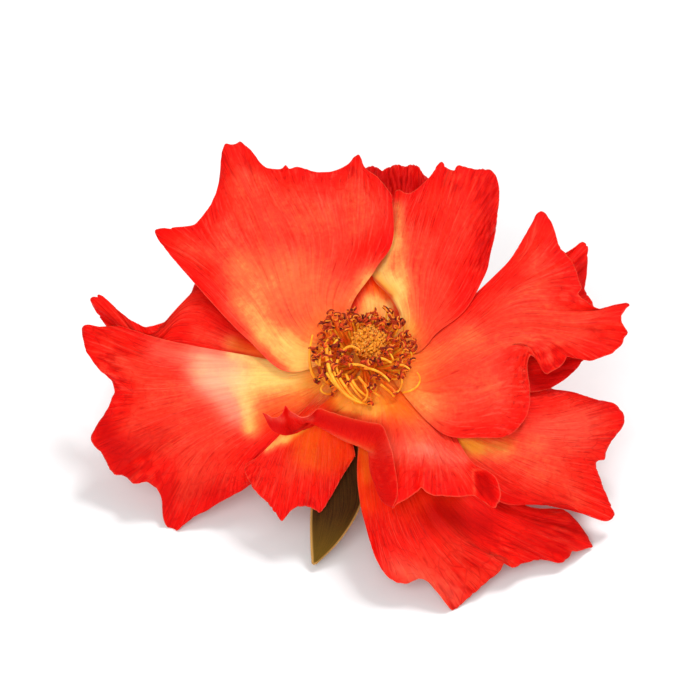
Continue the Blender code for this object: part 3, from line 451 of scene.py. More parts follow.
def edge_cut(nicks, seed):
    rng = random.Random(seed * 13)
    t = np.linspace(0.0, 1.0, ACROSS + 1)
    cut = np.zeros(ACROSS + 1)
    for _ in range(NOTCHES):
        place = rng.uniform(0.02, 0.98)
        width = rng.uniform(*NOTCH_WIDTHS)
        cut += rng.uniform(0.0, NOTCH_DEPTH) * np.exp(-(((t - place) / width) ** 2))
    cut -= cut.mean() + EDGE_REACH
    for place, width, depth in nicks:
        cut += depth * np.clip(1.0 - np.abs(t - place) / width, 0.0, 1.0)
    return cut


def piece_of(mesh, name, materials):
    for face in mesh.faces:
        face.smooth = True
    data = bpy.data.meshes.new(name)
    mesh.to_mesh(data)
    mesh.free()
    for material in materials:
        data.materials.append(material)
    piece = bpy.data.objects.new(name, data)
    bpy.context.scene.collection.objects.link(piece)
    return piece


# the blade thins to this share of its thickness over the last millimetres before the margin
MARGIN_THINS = 1.5
MARGIN_SHARE = 0.40


def sheet_object(name, points, layers, thickness, materials):
    along, across = points.shape[0] - 1, points.shape[1] - 1
    mesh = bmesh.new()
    body = mesh.verts.layers.deform.verify()
    uv = mesh.loops.layers.uv.new("blade")
    bmesh.ops.create_grid(mesh, x_segments=across, y_segments=along, size=0.5)
    for face in mesh.faces:
        for loop in face.loops:
            loop[uv].uv = (loop.vert.co.x + 0.5, loop.vert.co.y + 0.5)
    marks = {key: mesh.verts.layers.float.new(key) for key in layers}
    for vert in mesh.verts:
        i = round((vert.co.y + 0.5) * along)
        j = round((vert.co.x + 0.5) * across)
        for key, layer in marks.items():
            vert[layer] = float(layers[key][i, j])
        vert[body][0] = min(float(layers["edge"][i, j]) / MARGIN_THINS, 1.0)
        vert.co = points[i, j]
    bmesh.ops.reverse_faces(mesh, faces=mesh.faces[:])
    piece = piece_of(mesh, name, materials)
    wall = piece.modifiers.new("thickness", "SOLIDIFY")
    wall.thickness = thickness
    wall.offset = 0.0
    piece.vertex_groups.new(name="body")
    wall.vertex_group = "body"
    wall.thickness_vertex_group = MARGIN_SHARE
    wall.use_rim = True
    wall.material_offset = 1
    return piece


def fill(item, values):
    for key, value in values.items():
        if isinstance(value, bpy.types.NodeSocket):
            item.id_data.links.new(value, item.inputs[key])
        else:
            item.inputs[key].default_value = value


def put(kind, values, tree=None, **settings):
    if tree is None:
        tree = next(value.id_data for value in values.values() if isinstance(value, bpy.types.NodeSocket))
    item = tree.nodes.new(kind)
    for key, value in settings.items():
        setattr(item, key, value)
    fill(item, values)
    return item


def maths(operation, *values):
    return put("ShaderNodeMath", dict(enumerate(values)), operation=operation).outputs[0]


plus, minus, times, larger = (partial(maths, kind) for kind in ("ADD", "SUBTRACT", "MULTIPLY", "MAXIMUM"))


def swing(value, reach):
    return times(minus(value, 0.5), reach)


def blend(factor, one, two, kind="MIX"):
    one, two = ((*colour, 1.0) if isinstance(colour, tuple) else colour for colour in (one, two))
    return put("ShaderNodeMix", {0: factor, 6: one, 7: two}, data_type="RGBA", blend_type=kind).outputs[2]


def spread(value, low, high, bottom=0.0, top=1.0):
    return put("ShaderNodeMapRange", {
        "Value": value, "From Min": low, "From Max": high, "To Min": bottom, "To Max": top}).outputs[0]


def ramp(value, stops):
    item = put("ShaderNodeValToRGB", {"Fac": value})
    bar = item.color_ramp
    while len(bar.elements) < len(stops):
        bar.elements.new(0.5)
    for element, (place, colour) in zip(bar.elements, stops):
        element.position = place
        element.color = (*colour, 1.0)
    return item.outputs["Color"]


def noise_value(vector, scale, detail, roughness=0.5, output="Fac"):
    return put("ShaderNodeTexNoise", {
        "Vector": vector, "Scale": scale, "Detail": detail, "Roughness": roughness}).outputs[output]


def stretched(vector, across, along):
    return put("ShaderNodeMapping", {"Vector": vector, "Scale": (across, along, 1.0)}).outputs[0]


def streaks_of(vector, across, along, detail, roughness=0.5):
    return noise_value(stretched(vector, across, along), 1.0, detail, roughness)


def length_along(vector):
    return put("ShaderNodeSeparateXYZ", {0: vector}).outputs[1]


def vein_lines(vector, count, wander, thin):
    wave = put("ShaderNodeTexWave", {
        "Vector": vector, "Scale": 0.314 * count, "Distortion": wander, "Detail": 2.0,
        "Detail Scale": 0.6}, bands_direction="X")
    return spread(wave.outputs["Fac"], thin, 1.0)


def relief_of(height, strength, depth):
    return put("ShaderNodeBump", {
        "Height": height, "Strength": strength, "Distance": depth}).outputs["Normal"]


# what the petals' tissue reads from the mesh, and its colours
MARKS = ("Yellow", "Amber", "Shade", "Highlight", "Edge", "Flush")
RED_TO_YELLOW = [
    (0.0, (0.88, 0.004, 0.002)), (0.20, (0.92, 0.013, 0.005)), (0.42, (0.94, 0.045, 0.020)),
    (0.66, (0.96, 0.145, 0.045)), (0.84, (0.97, 0.36, 0.09)), (1.0, (0.97, 0.56, 0.15))]
RED_TO_AMBER = [
    (0.0, (0.92, 0.012, 0.001)), (0.4, (0.96, 0.055, 0.002)), (0.75, (0.97, 0.15, 0.006)),
    (1.0, (0.98, 0.29, 0.022))]
MOTTLE_RED = (0.66, 0.003, 0.002)
RIDGE_PINK = (1.0, 0.17, 0.10)
# painted shade: the dark red that the shade strokes and the creases' valleys turn the tissue to
PAINTED_SHADE_RED = (0.46, 0.001, 0.001)
# painted highlight: the pale pink that the highlight strokes lay on the tissue
PAINTED_HIGHLIGHT_PINK = (0.97, 0.52, 0.33)
VEIN_RED = (0.40, 0.001, 0.001)
# a thin pink line at the margin: partly the margin's own paler edge, partly a painted rim highlight
EDGE_PINK_AND_RIM_LIGHT = (1.0, 0.16, 0.09)
# the under face's colour: its own duller red, darkened further as painted shade
UNDER_RED_AND_SHADE = (0.54, 0.002, 0.001)
UNDER_SHARE = 0.62

petal_tissue = bpy.data.node_groups.new("petal tissue", "ShaderNodeTree")
for label in MARKS:
    petal_tissue.interface.new_socket(label, in_out="INPUT", socket_type="NodeSocketFloat")
for label in ("Blade", "Place"):
    petal_tissue.interface.new_socket(label, in_out="INPUT", socket_type="NodeSocketVector")
for label, kind in (("Colour", "Color"), ("Roughness", "Float"), ("Height", "Float")):
    petal_tissue.interface.new_socket(label, in_out="OUTPUT", socket_type="NodeSocket" + kind)
given = petal_tissue.nodes.new("NodeGroupInput").outputs
blade, place = given["Blade"], given["Place"]
streaks = streaks_of(blade, 34.0, 2.4, 4.0, 0.6)
clouds = noise_value(place, 160.0, 3.0)
cells = noise_value(place, 2600.0, 2.0)
speckle = noise_value(place, 1300.0, 3.0, 0.6)

# veins: a few long ones, finer ones towards the margin, all broken here and there
from_claw = spread(length_along(blade), 0.25, 0.75)
veins = larger(vein_lines(blade, 15, 2.2, 0.90), times(vein_lines(blade, 37, 3.0, 0.86), from_claw))
hair_veins = times(vein_lines(blade, 83, 4.0, 0.80), from_claw)
veins = larger(veins, times(hair_veins, 0.7))
veins = times(veins, spread(streaks_of(blade, 20.0, 14.0, 2.0), 0.40, 0.62))
veins = larger(veins, times(spread(streaks_of(blade, 80.0, 11.0, 3.0, 0.6), 0.59, 0.74), 0.5))
net_size = stretched(blade, 30.0, 11.0)
net_bend = noise_value(net_size, 0.6, 2.0, output="Color")
net = put("ShaderNodeTexVoronoi", {"Vector": blend(0.35, net_size, net_bend, "ADD"), "Scale": 1.0},
          feature="DISTANCE_TO_EDGE").outputs["Distance"]
veins = larger(veins, times(spread(net, 0.07, 0.01, 0.0, 0.52), from_claw))

# warmth: from the red of the margin to the yellow of the claw
drift = plus(plus(swing(streaks, 0.30), swing(clouds, 0.20)), swing(speckle, 0.26))
inward = spread(plus(given["Edge"], swing(clouds, 5.0)), 0.2, 7.5, 0.0, 0.42)
inward = times(inward, minus(1.0, given["Flush"]))
warmth = plus(larger(given["Yellow"], inward), drift)
tone = blend(given["Amber"], ramp(warmth, RED_TO_YELLOW), ramp(plus(warmth, 0.20), RED_TO_AMBER))
mottle = spread(noise_value(place, 330.0, 4.0, 0.65), 0.50, 0.72, 0.0, 0.32)
tone = blend(times(mottle, spread(warmth, 0.25, 0.70, 1.0, 0.0)), tone, MOTTLE_RED)
ridges = spread(streaks_of(blade, 110.0, 5.0, 3.0, 0.6), 0.52, 0.72, 0.0, 0.26)
tone = blend(times(ridges, spread(given["Shade"], 0.0, 0.8, 1.0, 0.15)), tone, RIDGE_PINK)
# painted shade: the shade mark darkens the tone towards deep red
tone = blend(times(given["Shade"], 0.88), tone, PAINTED_SHADE_RED)
# painted highlight: the highlight mark lightens the tone towards pale pink
tone = blend(times(given["Highlight"], spread(streaks, 0.2, 0.8, 0.7, 1.2)), tone, PAINTED_HIGHLIGHT_PINK)
vein_share = times(veins, spread(warmth, 0.15, 0.85, 0.68, 0.15))
for mark, least in (("Amber", 0.12), ("Highlight", -1.0)):
    vein_share = times(vein_share, spread(given[mark], 0.0, 1.0, 1.0, least))
tone = blend(larger(vein_share, 0.0), tone, VEIN_RED)
# a thin pink line along the margin, partly painted rim highlight
tone = blend(times(spread(given["Edge"], 0.26, 0.03), 0.20), tone, EDGE_PINK_AND_RIM_LIGHT)
relief = minus(plus(times(streaks, 0.8), times(cells, 0.35)), times(veins, 0.5))
fill(petal_tissue.nodes.new("NodeGroupOutput"), {
    "Colour": tone, "Roughness": spread(cells, 0.3, 0.7, 0.46, 0.60), "Height": relief})


def new_material(name):
    material = bpy.data.materials.new(name)
    material.use_nodes = True
    return material, put("ShaderNodeTexCoord", {}, material.node_tree).outputs["Object"]


def blade_map(material):
    return put("ShaderNodeUVMap", {}, material.node_tree, uv_map="blade").outputs["UV"]


def painted(material, mark):
    return put("ShaderNodeAttribute", {}, material.node_tree, attribute_name=mark).outputs["Fac"]


def finish(material, values):
    fill(material.node_tree.nodes["Principled BSDF"], values)
    return material


def petal_finish(name, tint=None):
    material, place = new_material(name)
    marks = {label: painted(material, label.lower()) for label in MARKS}
    tissue = put("ShaderNodeGroup", {**marks, "Blade": blade_map(material), "Place": place},
                 node_tree=petal_tissue).outputs
    return finish(material, {
        "Base Color": blend(UNDER_SHARE, tissue["Colour"], tint) if tint else tissue["Colour"],
        "Roughness": tissue["Roughness"], "Normal": relief_of(tissue["Height"], 0.6, 0.00014),
        "Subsurface Weight": 0.45, "Subsurface Radius": (1.0, 0.25, 0.10), "Subsurface Scale": 0.0011,
        "Specular IOR Level": 0.05, "Sheen Weight": 0.02, "Sheen Roughness": 0.45,
        "Sheen Tint": (1.0, 0.45, 0.40, 1.0)})


petal_face = petal_finish("petal upper face")
petal_back = petal_finish("petal under face", UNDER_RED_AND_SHADE)

# creases turn valleys red as painted shade and ridges yellow as painted highlight: how fast, and the most
# they can
VALLEY_PAINTED_SHADE = (8.0, 0.55)
RIDGE_PAINTED_HIGHLIGHT = (4.0, 0.24)
CREASED_ALL_OVER = 0.05

for name, facts in PETALS.items():
    middle = math.radians(facts["turn"])
    half = CLAW_WIDTHS[facts["ring"]]
    claw = np.array([around(turn, *facts["ring"]) for turn in (middle - half, middle, middle + half)])
    rows = [claw] + [drawn_row(row) for row in facts["rows"]]
    pins = [None] + [partners(row) for row in facts["rows"]]
    points = blade_sheet(rows, ALONG, edge_cut(facts.get("nicks", []), facts["seed"]), pins)
    from_centre = points - np.array(CENTRE)
    grid_x = GRID_X + from_centre @ np.array(RIGHT) / GRID
    grid_y = GRID_Y - from_centre @ np.array(UP) / GRID
    layers = {}
    for key in ("yellow", "amber", "shade", "highlight"):
        strokes = facts.get(key, []) + CLAW_STROKES.get(key, [])
        layers[key] = stroke_mask(grid_x, grid_y, strokes)
    layers["edge"] = edge_distance(points)
    layers["flush"] = np.full(points.shape[:2], facts["flush"])
    creases = CREASED_ALL_OVER + sum(
        strength * np.exp(-((grid_x - x) ** 2 + (grid_y - y) ** 2) / radius**2)
        for x, y, radius, strength in facts["crumples"])
    points, valleys = ruffle(points, facts["folds"], creases, facts["seed"])
    # painted shade in the creases' valleys and painted highlight on their ridges
    for key, depth, (rate, most) in (("shade", valleys, VALLEY_PAINTED_SHADE), ("yellow", -valleys, RIDGE_PAINTED_HIGHLIGHT)):
        layers[key] = joined(layers[key], np.clip(depth * rate * creases, 0.0, most))
    points[..., 2] = np.maximum(points[..., 2], PETAL_THICKNESS / 2)
    piece = sheet_object(name + "_blade", points, layers, PETAL_THICKNESS, [petal_face, petal_back])
    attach(piece, "root")
    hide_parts(name)

# Filaments and anthers
# The ring of stamens: golden stalks rooted on the hip's disc, each bent outward and then up.
# Nearly every stalk carries a dark maroon anther, open and curled into a small hook; some are bare.
# Stalks and anthers are living tissue, grown together at the stalk's tip.
STALK_RADIUS = 0.00020
STALK_ROOT = (0.0024, 0.0013)
STALK_SWAY = 0.30
STALK_GIRTHS = (0.85, 1.2)
GOLD_SHARE = 0.35
RIGHT_CORNER = 0.65
FRONT = 1.5 * math.pi
FRONT_HALF = 0.55
ANTHER_LENGTHS = (1.3, 1.9)
ANTHER_CURLS = (1.4, 3.4)
ANTHER_TILT = 0.7
LOBE_RADII = (0.20, 0.27)
LOBE_ASIDE = 0.00017
LOBE_LUMP = 0.15
SEAM_RADIUS = 0.00018
# the rings of stalks: how many, then belly, reach and rise in millimetres, each one a length,
# what is added in front, behind and at the two far corners, and the least and most left to chance
STALK_RINGS = [
    (66, (7.4, 1.4, -2.4, 1.6, -0.5, 0.5), (7.9, 0.5, -3.2, 2.4, -0.7, 0.5), (5.7, -1.1, -0.6, 0, -0.9, 0.5)),
    (70, (5.4, 0.8, -1.0, 0.8, -0.4, 0.4), (6.4, 0.2, -1.5, 1.4, -0.7, 0.6), (6.0, -0.6, 0, 0, -0.8, 0.6)),
    (54, (3.6, 0, 0, 0, -0.3, 0.3), (4.7, -0.6, -0.5, 0, -0.8, 0.8), (5.8, 0, 0, 0, -0.7, 0.6)),
]
# low stalks over the front petal: height of the tip in millimetres, turn and sway
LOW_STALKS = ((2.6, -1.55, 0.1), (2.9, -1.95, -0.2), (3.0, -1.2, 0.2), (3.0, -2.4, -0.1))
# bare stalks: thickness in millimetres and four points on the layout grid
LOOSE_STALKS = [
    (0.24, [(318, 380, 1.5), (307, 372, 4.5), (309, 350, 6.0), (313, 335, 6.8)]),
    (0.24, [(330, 384, 1.5), (313, 372, 5.0), (321, 344, 6.6), (331, 337, 7.0)]),
    (0.30, [(327, 346, 6.9), (325, 372, 7.2), (340, 398, 6.0), (364, 403, 4.6)]),
    (0.22, [(330, 348, 6.6), (330, 374, 6.8), (344, 394, 5.6), (358, 402, 4.4)]),
    (0.22, [(327, 373, 6.4), (335, 385, 6.4), (346, 398, 5.4), (367, 404, 4.0)]),
    (0.24, [(342, 355, 6.4), (344, 345, 7.0), (354, 344, 7.2), (360, 351, 6.8)]),
    (0.22, [(349, 365, 7.1), (356, 363, 7.4), (364, 365, 7.4), (371, 369, 7.0)]),
    (0.22, [(364, 368, 6.6), (374, 368, 7.1), (383, 373, 6.8), (389, 381, 6.2)]),
    (0.24, [(377, 359, 6.9), (381, 357, 7.4), (387, 360, 7.4), (391, 363, 7.0)]),
    (0.20, [(401, 356, 6.4), (402, 352, 6.9), (404, 350, 7.0), (406, 347, 6.9)]),
    (0.20, [(386, 349, 6.4), (389, 351, 6.9), (391, 355, 7.0), (393, 360, 6.6)]),
    (0.17, [(402, 392, 3.5), (416, 391, 4.6), (424, 380, 5.2), (416, 372, 5.8)]),
    (0.26, [(339, 339, 7.1), (337, 340, 7.3), (335, 343, 7.2), (333, 346, 6.9)]),
    (0.24, [(338, 360, 6.7), (336, 365, 6.9), (336, 369, 6.8), (339, 374, 6.3)]),
    (0.22, [(340, 378, 6.4), (346, 388, 6.2), (352, 397, 5.2), (361, 401, 4.2)]),
    (0.20, [(399, 365, 6.7), (402, 364, 6.9), (405, 366, 6.9), (409, 369, 6.6)]),
    (0.17, [(338, 392, 1.2), (326, 397, 3.6), (316, 390, 4.4), (324, 384, 4.8)]),
    (0.18, [(354, 402, 3.0), (366, 405, 4.4), (371, 392, 5.0), (364, 385, 5.4)]),
    (0.17, [(398, 372, 5.2), (404, 378, 5.0), (402, 390, 4.2), (392, 396, 3.2)]),
    (0.24, [(352, 380, 5.6), (356, 388, 5.2), (362, 394, 4.4), (372, 398, 3.4)]),
    (0.22, [(358, 376, 5.6), (364, 384, 5.2), (370, 390, 4.4), (380, 396, 3.4)]),
    (0.22, [(346, 374, 5.8), (350, 384, 5.4), (356, 392, 4.6), (362, 398, 3.6)]),
    (0.20, [(380, 384, 5.6), (386, 388, 5.0), (390, 392, 4.2), (394, 396, 3.2)]),
]


def bend_through(points, share):
    a, b, c, d = points
    left = 1.0 - share
    return a * left**3 + b * 3 * left**2 * share + c * 3 * left * share**2 + d * share**3


def tapered(girth):
    return lambda share: girth * (1.15 - 0.45 * share)


def add_to(mesh, part):
    held = bpy.data.meshes.new("held")
    part.to_mesh(held)
    part.free()
    mesh.from_mesh(held)
    bpy.data.meshes.remove(held)


# two ways square to a path; aside is a way that the path never takes
def crosswise(path, share, aside):
    heading = (path(min(share + 0.01, 1.0)) - path(max(share - 0.01, 0.0))).normalized()
    across = heading.cross(Vector(aside)).normalized()
    return across, heading.cross(across)


def bent_rod(mesh, path, radius_at, sides, cuts, skin=0):
    rod = bmesh.new()
    bmesh.ops.create_cone(
        rod, cap_ends=True, cap_tris=False, segments=sides, radius1=1.0, radius2=1.0, depth=1.0)
    long_edges = [edge for edge in rod.edges if abs(edge.verts[0].co.z - edge.verts[1].co.z) > 0.5]
    bmesh.ops.subdivide_edges(rod, edges=long_edges, cuts=cuts)
    for vert in rod.verts:
        share = vert.co.z + 0.5
        across, other = crosswise(path, share, (0.31, 0.22, 0.92))
        vert.co = path(share) + (across * vert.co.x + other * vert.co.y) * radius_at(share)
    for face in rod.faces:
        face.material_index = skin
    add_to(mesh, rod)


def close_up(mesh, name, materials):
    bmesh.ops.recalc_face_normals(mesh, faces=mesh.faces)
    return piece_of(mesh, name, materials)


def plain_tissue(name, one, two, scale, roughness, bump_depth, subsurface):
    material, place = new_material(name)
    cloud = noise_value(place, scale, 3.0)
    grain = noise_value(place, scale * 6.0, 2.0)
    return finish(material, {
        "Base Color": blend(spread(cloud, 0.35, 0.65), one, two),
        "Roughness": spread(grain, 0.3, 0.7, roughness - 0.08, roughness + 0.08),
        "Normal": relief_of(grain, 0.5, bump_depth), "Specular IOR Level": 0.2,
        "Subsurface Weight": subsurface, "Subsurface Radius": (1.0, 0.5, 0.2), "Subsurface Scale": 0.0006})


def stalk_course(turn, lengths, rng):
    front = max(0.0, -math.sin(turn))
    back = max(0.0, math.sin(turn))
    corner = abs(math.sin(2.0 * turn)) ** 3 if back > 0.0 else 0.0
    if math.cos(turn) > 0.0:
        corner *= RIGHT_CORNER
    sway = rng.uniform(-STALK_SWAY, STALK_SWAY)
    belly, reach, rise = (
        length + ahead * front + behind * back + aside * corner + rng.uniform(least, most)
        for length, ahead, behind, aside, least, most in lengths)
    return [
        around(turn, *STALK_ROOT),
        around(turn + sway * 0.2, (belly * 0.8) * MM, 0.0022),
        around(turn + sway * 0.7, belly * 1.05 * MM, 0.0034 + 0.2 * rise * MM),
        around(turn + sway, reach * MM, rise * MM),
    ]


def curled_lobe(mesh, base, heading, side, size, curl, radius):
    up = heading.cross(side).normalized()
    bow = size / curl
    lobe = bmesh.new()
    bmesh.ops.create_uvsphere(lobe, u_segments=8, v_segments=11, radius=1.0)
    for vert in lobe.verts:
        share = (vert.co.z + 1.0) / 2.0
        angle = curl * (share - 0.5)
        here = heading * (math.sin(angle) * bow) + side * ((math.cos(angle) - 1.0) * bow)
        outwards = side * math.cos(angle) + heading * math.sin(angle)
        girth = radius * (1.0 - LOBE_LUMP + LOBE_LUMP * math.sin(share * 11.0))
        vert.co = base + here + (outwards * vert.co.x + up * vert.co.y) * girth
    add_to(mesh, lobe)


stalk_orange = plain_tissue(
    "filament orange", (1.0, 0.12, 0.005), (1.0, 0.29, 0.018), 900.0, 0.42, 0.00002, 0.35)
stalk_gold = plain_tissue(
    "filament gold", (1.0, 0.27, 0.008), (1.0, 0.47, 0.03), 700.0, 0.42, 0.00002, 0.35)
anther_maroon = plain_tissue(
    "anther maroon", (0.045, 0.001, 0.001), (0.70, 0.055, 0.007), 1400.0, 0.75, 0.00005, 0.05)
rng = random.Random(11)
stalks = bmesh.new()
anthers = bmesh.new()
courses = []
for kind, (count, *lengths) in enumerate(STALK_RINGS):
    for k in range(count):
        turn = 2 * math.pi * (k + 0.37 * kind + rng.uniform(-0.35, 0.35)) / count
        thinned = kind < 2 and k % 3 and abs(turn - FRONT) < FRONT_HALF
        if not thinned:
            courses.append(stalk_course(turn, lengths, rng))
for height, turn, sway in LOW_STALKS:
    courses.append([around(turn, *STALK_ROOT), around(turn, 0.0055, 0.0028),
                    around(turn + sway, 0.0082, 0.0040), around(turn + sway, 0.0094, height * MM)])
for course in courses:
    girth = STALK_RADIUS * rng.uniform(*STALK_GIRTHS)
    golden = int(rng.random() < GOLD_SHARE)
    bent_rod(stalks, partial(bend_through, course), tapered(girth), 7, 11, golden)
    facing = (AXIS + Vector([rng.uniform(-ANTHER_TILT, ANTHER_TILT) for _ in range(3)])).normalized()
    spin = rng.uniform(0.0, 6.28)
    lean = facing.cross(RIGHT * math.cos(spin) + OUTWARD * math.sin(spin)).normalized()
    side = facing.cross(lean).normalized()
    size = rng.uniform(*ANTHER_LENGTHS) * MM
    curl = rng.uniform(*ANTHER_CURLS)
    tip = course[3]
    curled_lobe(stalks, tip - side * 0.00019 + facing * 0.00009, lean, side, size * 0.8, curl, SEAM_RADIUS)
    for way in (-1.0, 1.0):
        lobe = rng.uniform(*LOBE_RADII) * MM
        curled_lobe(anthers, tip + facing * LOBE_ASIDE * way, lean, side, size, curl, lobe)
for girth, course in LOOSE_STALKS:
    course = [drawn(*point) for point in course]
    bent_rod(stalks, partial(bend_through, course), tapered(girth * MM), 8, 14, 1)
stalk_piece = close_up(stalks, "filaments", [stalk_orange, stalk_gold])
anther_piece = close_up(anthers, "anthers", [anther_maroon])
for piece in (stalk_piece, anther_piece):
    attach(piece, "root")
    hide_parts("stamens")

# Styles
# A tight bundle of golden stalks in the middle of the flower, each with a rough round stigma.
# Living tissue with specks of pollen, rising from the middle of the hip's disc.
STYLES = 150
GOLDEN_TURN = 2.39996
# spacing and top in millimetres; the dome lowers the stalks that stand away from the middle
STYLE_SPACING = 0.247
STYLE_TOP = 6.3
STYLE_DOME = 0.15
STYLE_RADIUS = 0.00012
STIGMA_RADIUS = 0.00025
STIGMA_HEIGHT = 0.62
POLLEN_AT = 0.00028
POLLEN_SIZES = (0.00004, 0.00007)
style_gold = plain_tissue("style gold", (0.62, 0.09, 0.003), (1.0, 0.33, 0.012), 1400.0, 0.7, 0.0001, 0.2)
pollen = plain_tissue("pollen", (1.0, 0.42, 0.03), (1.0, 0.66, 0.16), 900.0, 0.8, 0.00001, 0.1)


def on_stigma(tip, way, size):
    return tip + (RIGHT * way.x + OUTWARD * way.y + AXIS * way.z * STIGMA_HEIGHT) * size


rng = random.Random(5)
styles = bmesh.new()
grains = bmesh.new()
for k in range(STYLES):
    turn = GOLDEN_TURN * k
    out = STYLE_SPACING * math.sqrt(k + 0.2)
    rise = STYLE_TOP - STYLE_DOME * out * out + rng.uniform(-0.40, 0.40)
    tip = around(turn, out * MM, rise * MM) + RIGHT * 0.0010 + OUTWARD * 0.0006
    course = [around(turn, out * 0.22 * MM, 0.0014), around(turn, out * 0.35 * MM, 0.0030),
              around(turn, out * 0.7 * MM, 0.0048), tip]
    bent_rod(styles, partial(bend_through, course), lambda share: STYLE_RADIUS, 6, 6)
    stigma = bmesh.new()
    bmesh.ops.create_uvsphere(stigma, u_segments=10, v_segments=8, radius=1.0)
    for vert in stigma.verts:
        rough = 1.0 + 0.75 * noise.noise(vert.co * 2.3 + Vector((k * 3.1, 0.0, 0.0)))
        vert.co = on_stigma(tip, vert.co, STIGMA_RADIUS * rough)
    add_to(styles, stigma)
    for _ in range(5):
        way = Vector((rng.uniform(-1, 1), rng.uniform(-1, 1), rng.uniform(0.0, 1.0))).normalized()
        bmesh.ops.create_icosphere(grains, subdivisions=1, radius=rng.uniform(*POLLEN_SIZES),
                                   matrix=Matrix.Translation(on_stigma(tip, way, POLLEN_AT)))
style_piece = close_up(styles, "style_bundle", [style_gold])
grain_piece = close_up(grains, "pollen_grains", [pollen])
for piece in (style_piece, grain_piece):
    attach(piece, "root")
    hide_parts("styles")

# Sepals
# Five narrow green leaves that wrapped the bud and are now folded back under the petals.
# Their inner face is brown-olive and velvety with a pale woolly edge; the outer face is green.
# Each grows from the hip's rim.
SEPAL_ROOT = (0.0043, -0.0026)
SEPAL_THICKNESS = 0.00045
SEPAL_ALONG = 60
SEPAL_ACROSS = 24
SEPAL_KEEL = 0.25
SEPAL_WAVE = 0.18
SEEN_SEPAL_TURN = math.radians(-104)
SEEN_SEPAL = [
    [(338, 405, -2.9), (350, 408, -2.5), (362, 408, -2.9)],
    [(318, 452, -4.8), (338, 458, -4.2), (360, 460, -4.8)],
    [(311, 508, -9.0), (335, 512, -8.4), (361, 504, -8.6)],
    [(311, 540, -11.4), (325, 541, -11.0), (340, 538, -11.2)],
    [(312, 561, -13.2), (314, 562, -13.1), (317, 561, -13.2)],
]
# turn in degrees, length as a share of SEPAL_LINE, and sideways drift of the tip
HIDDEN_SEPALS = {
    "sepal_right": (-32, 0.96, 0.0012),
    "sepal_back_right": (40, 1.0, -0.0015),
    "sepal_back_left": (112, 1.05, 0.001),
    "sepal_left": (184, 0.94, -0.0008),
}
# distance from the flower's axis, height and half width, from the root to the tip
SEPAL_LINE = [
    (0.0043, -0.0026, 0.0021), (0.0072, -0.0040, 0.0034), (0.0110, -0.0066, 0.0041),
    (0.0145, -0.0105, 0.0034), (0.0168, -0.0145, 0.0020), (0.0180, -0.0175, 0.0007),
]


def sepal_finish(name, dark, light, tip, rim):
    material, place = new_material(name)
    blade = blade_map(material)
    fuzz = noise_value(place, 5000.0, 2.0, 0.7)
    colour = blend(spread(streaks_of(blade, 40.0, 5.0, 4.0, 0.65), 0.35, 0.70), dark, light)
    colour = blend(spread(fuzz, 0.45, 0.75, 0.0, 0.45), colour, light)
    colour = blend(spread(length_along(blade), 0.70, 0.98, 0.0, 0.55), colour, tip)
    return finish(material, {
        "Base Color": blend(spread(painted(material, "edge"), 0.50, 0.15), colour, rim),
        "Normal": relief_of(fuzz, 0.7, 0.00012), "Roughness": 0.85, "Specular IOR Level": 0.1,
        "Sheen Weight": 0.04, "Sheen Roughness": 0.5, "Sheen Tint": (0.9, 0.75, 0.5, 1.0)})


sepal_inner = sepal_finish(
    "sepal inner face", (0.024, 0.006, 0.001), (0.078, 0.028, 0.003), (0.20, 0.11, 0.008), (0.50, 0.26, 0.07))
sepal_outer = sepal_finish(
    "sepal outer face", (0.030, 0.070, 0.012), (0.10, 0.17, 0.035), (0.16, 0.20, 0.04), (0.45, 0.34, 0.14))


def sepal_piece(name, rows):
    points = blade_sheet(rows, SEPAL_ALONG, np.zeros(SEPAL_ACROSS + 1))
    layers = {"edge": edge_distance(points)}
    s = np.linspace(0.0, 1.0, SEPAL_ALONG + 1)[:, None]
    t = np.linspace(-1.0, 1.0, SEPAL_ACROSS + 1)
    keel = -SEPAL_KEEL * (1.0 - np.abs(t))
    wave = SEPAL_WAVE * np.abs(t) * np.sin(13.0 * s + 3.0 * t)
    points = points + sheet_normals(points) * ((keel + wave) * MM)[..., None]
    points[..., 2] = np.maximum(points[..., 2], 0.0003)
    piece = sheet_object(name + "_leaf", points, layers, SEPAL_THICKNESS, [sepal_inner, sepal_outer])
    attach(piece, "root")
    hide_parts(name)


claw = np.array([around(SEEN_SEPAL_TURN + turn, *SEPAL_ROOT) for turn in (-0.5, 0.0, 0.5)])
sepal_piece("sepal_front", [claw] + [drawn_row(row) for row in SEEN_SEPAL])
for name, (degrees, length, drift) in HIDDEN_SEPALS.items():
    middle = math.radians(degrees)
    side = OUTWARD * math.cos(middle) - RIGHT * math.sin(middle)
    root_out, root_height = SEPAL_ROOT
    rows = []
    for step, (out, height, half) in enumerate(SEPAL_LINE):
        share = step / (len(SEPAL_LINE) - 1)
        spine = around(middle, root_out + (out - root_out) * length,
                       root_height + (height - root_height) * length)
        spine = spine + side * drift * share**2
        raised = AXIS * 0.0006 * (1 - share)
        rows.append(np.array([spine - side * half + raised, spine, spine + side * half + raised]))
    sepal_piece(name, rows)

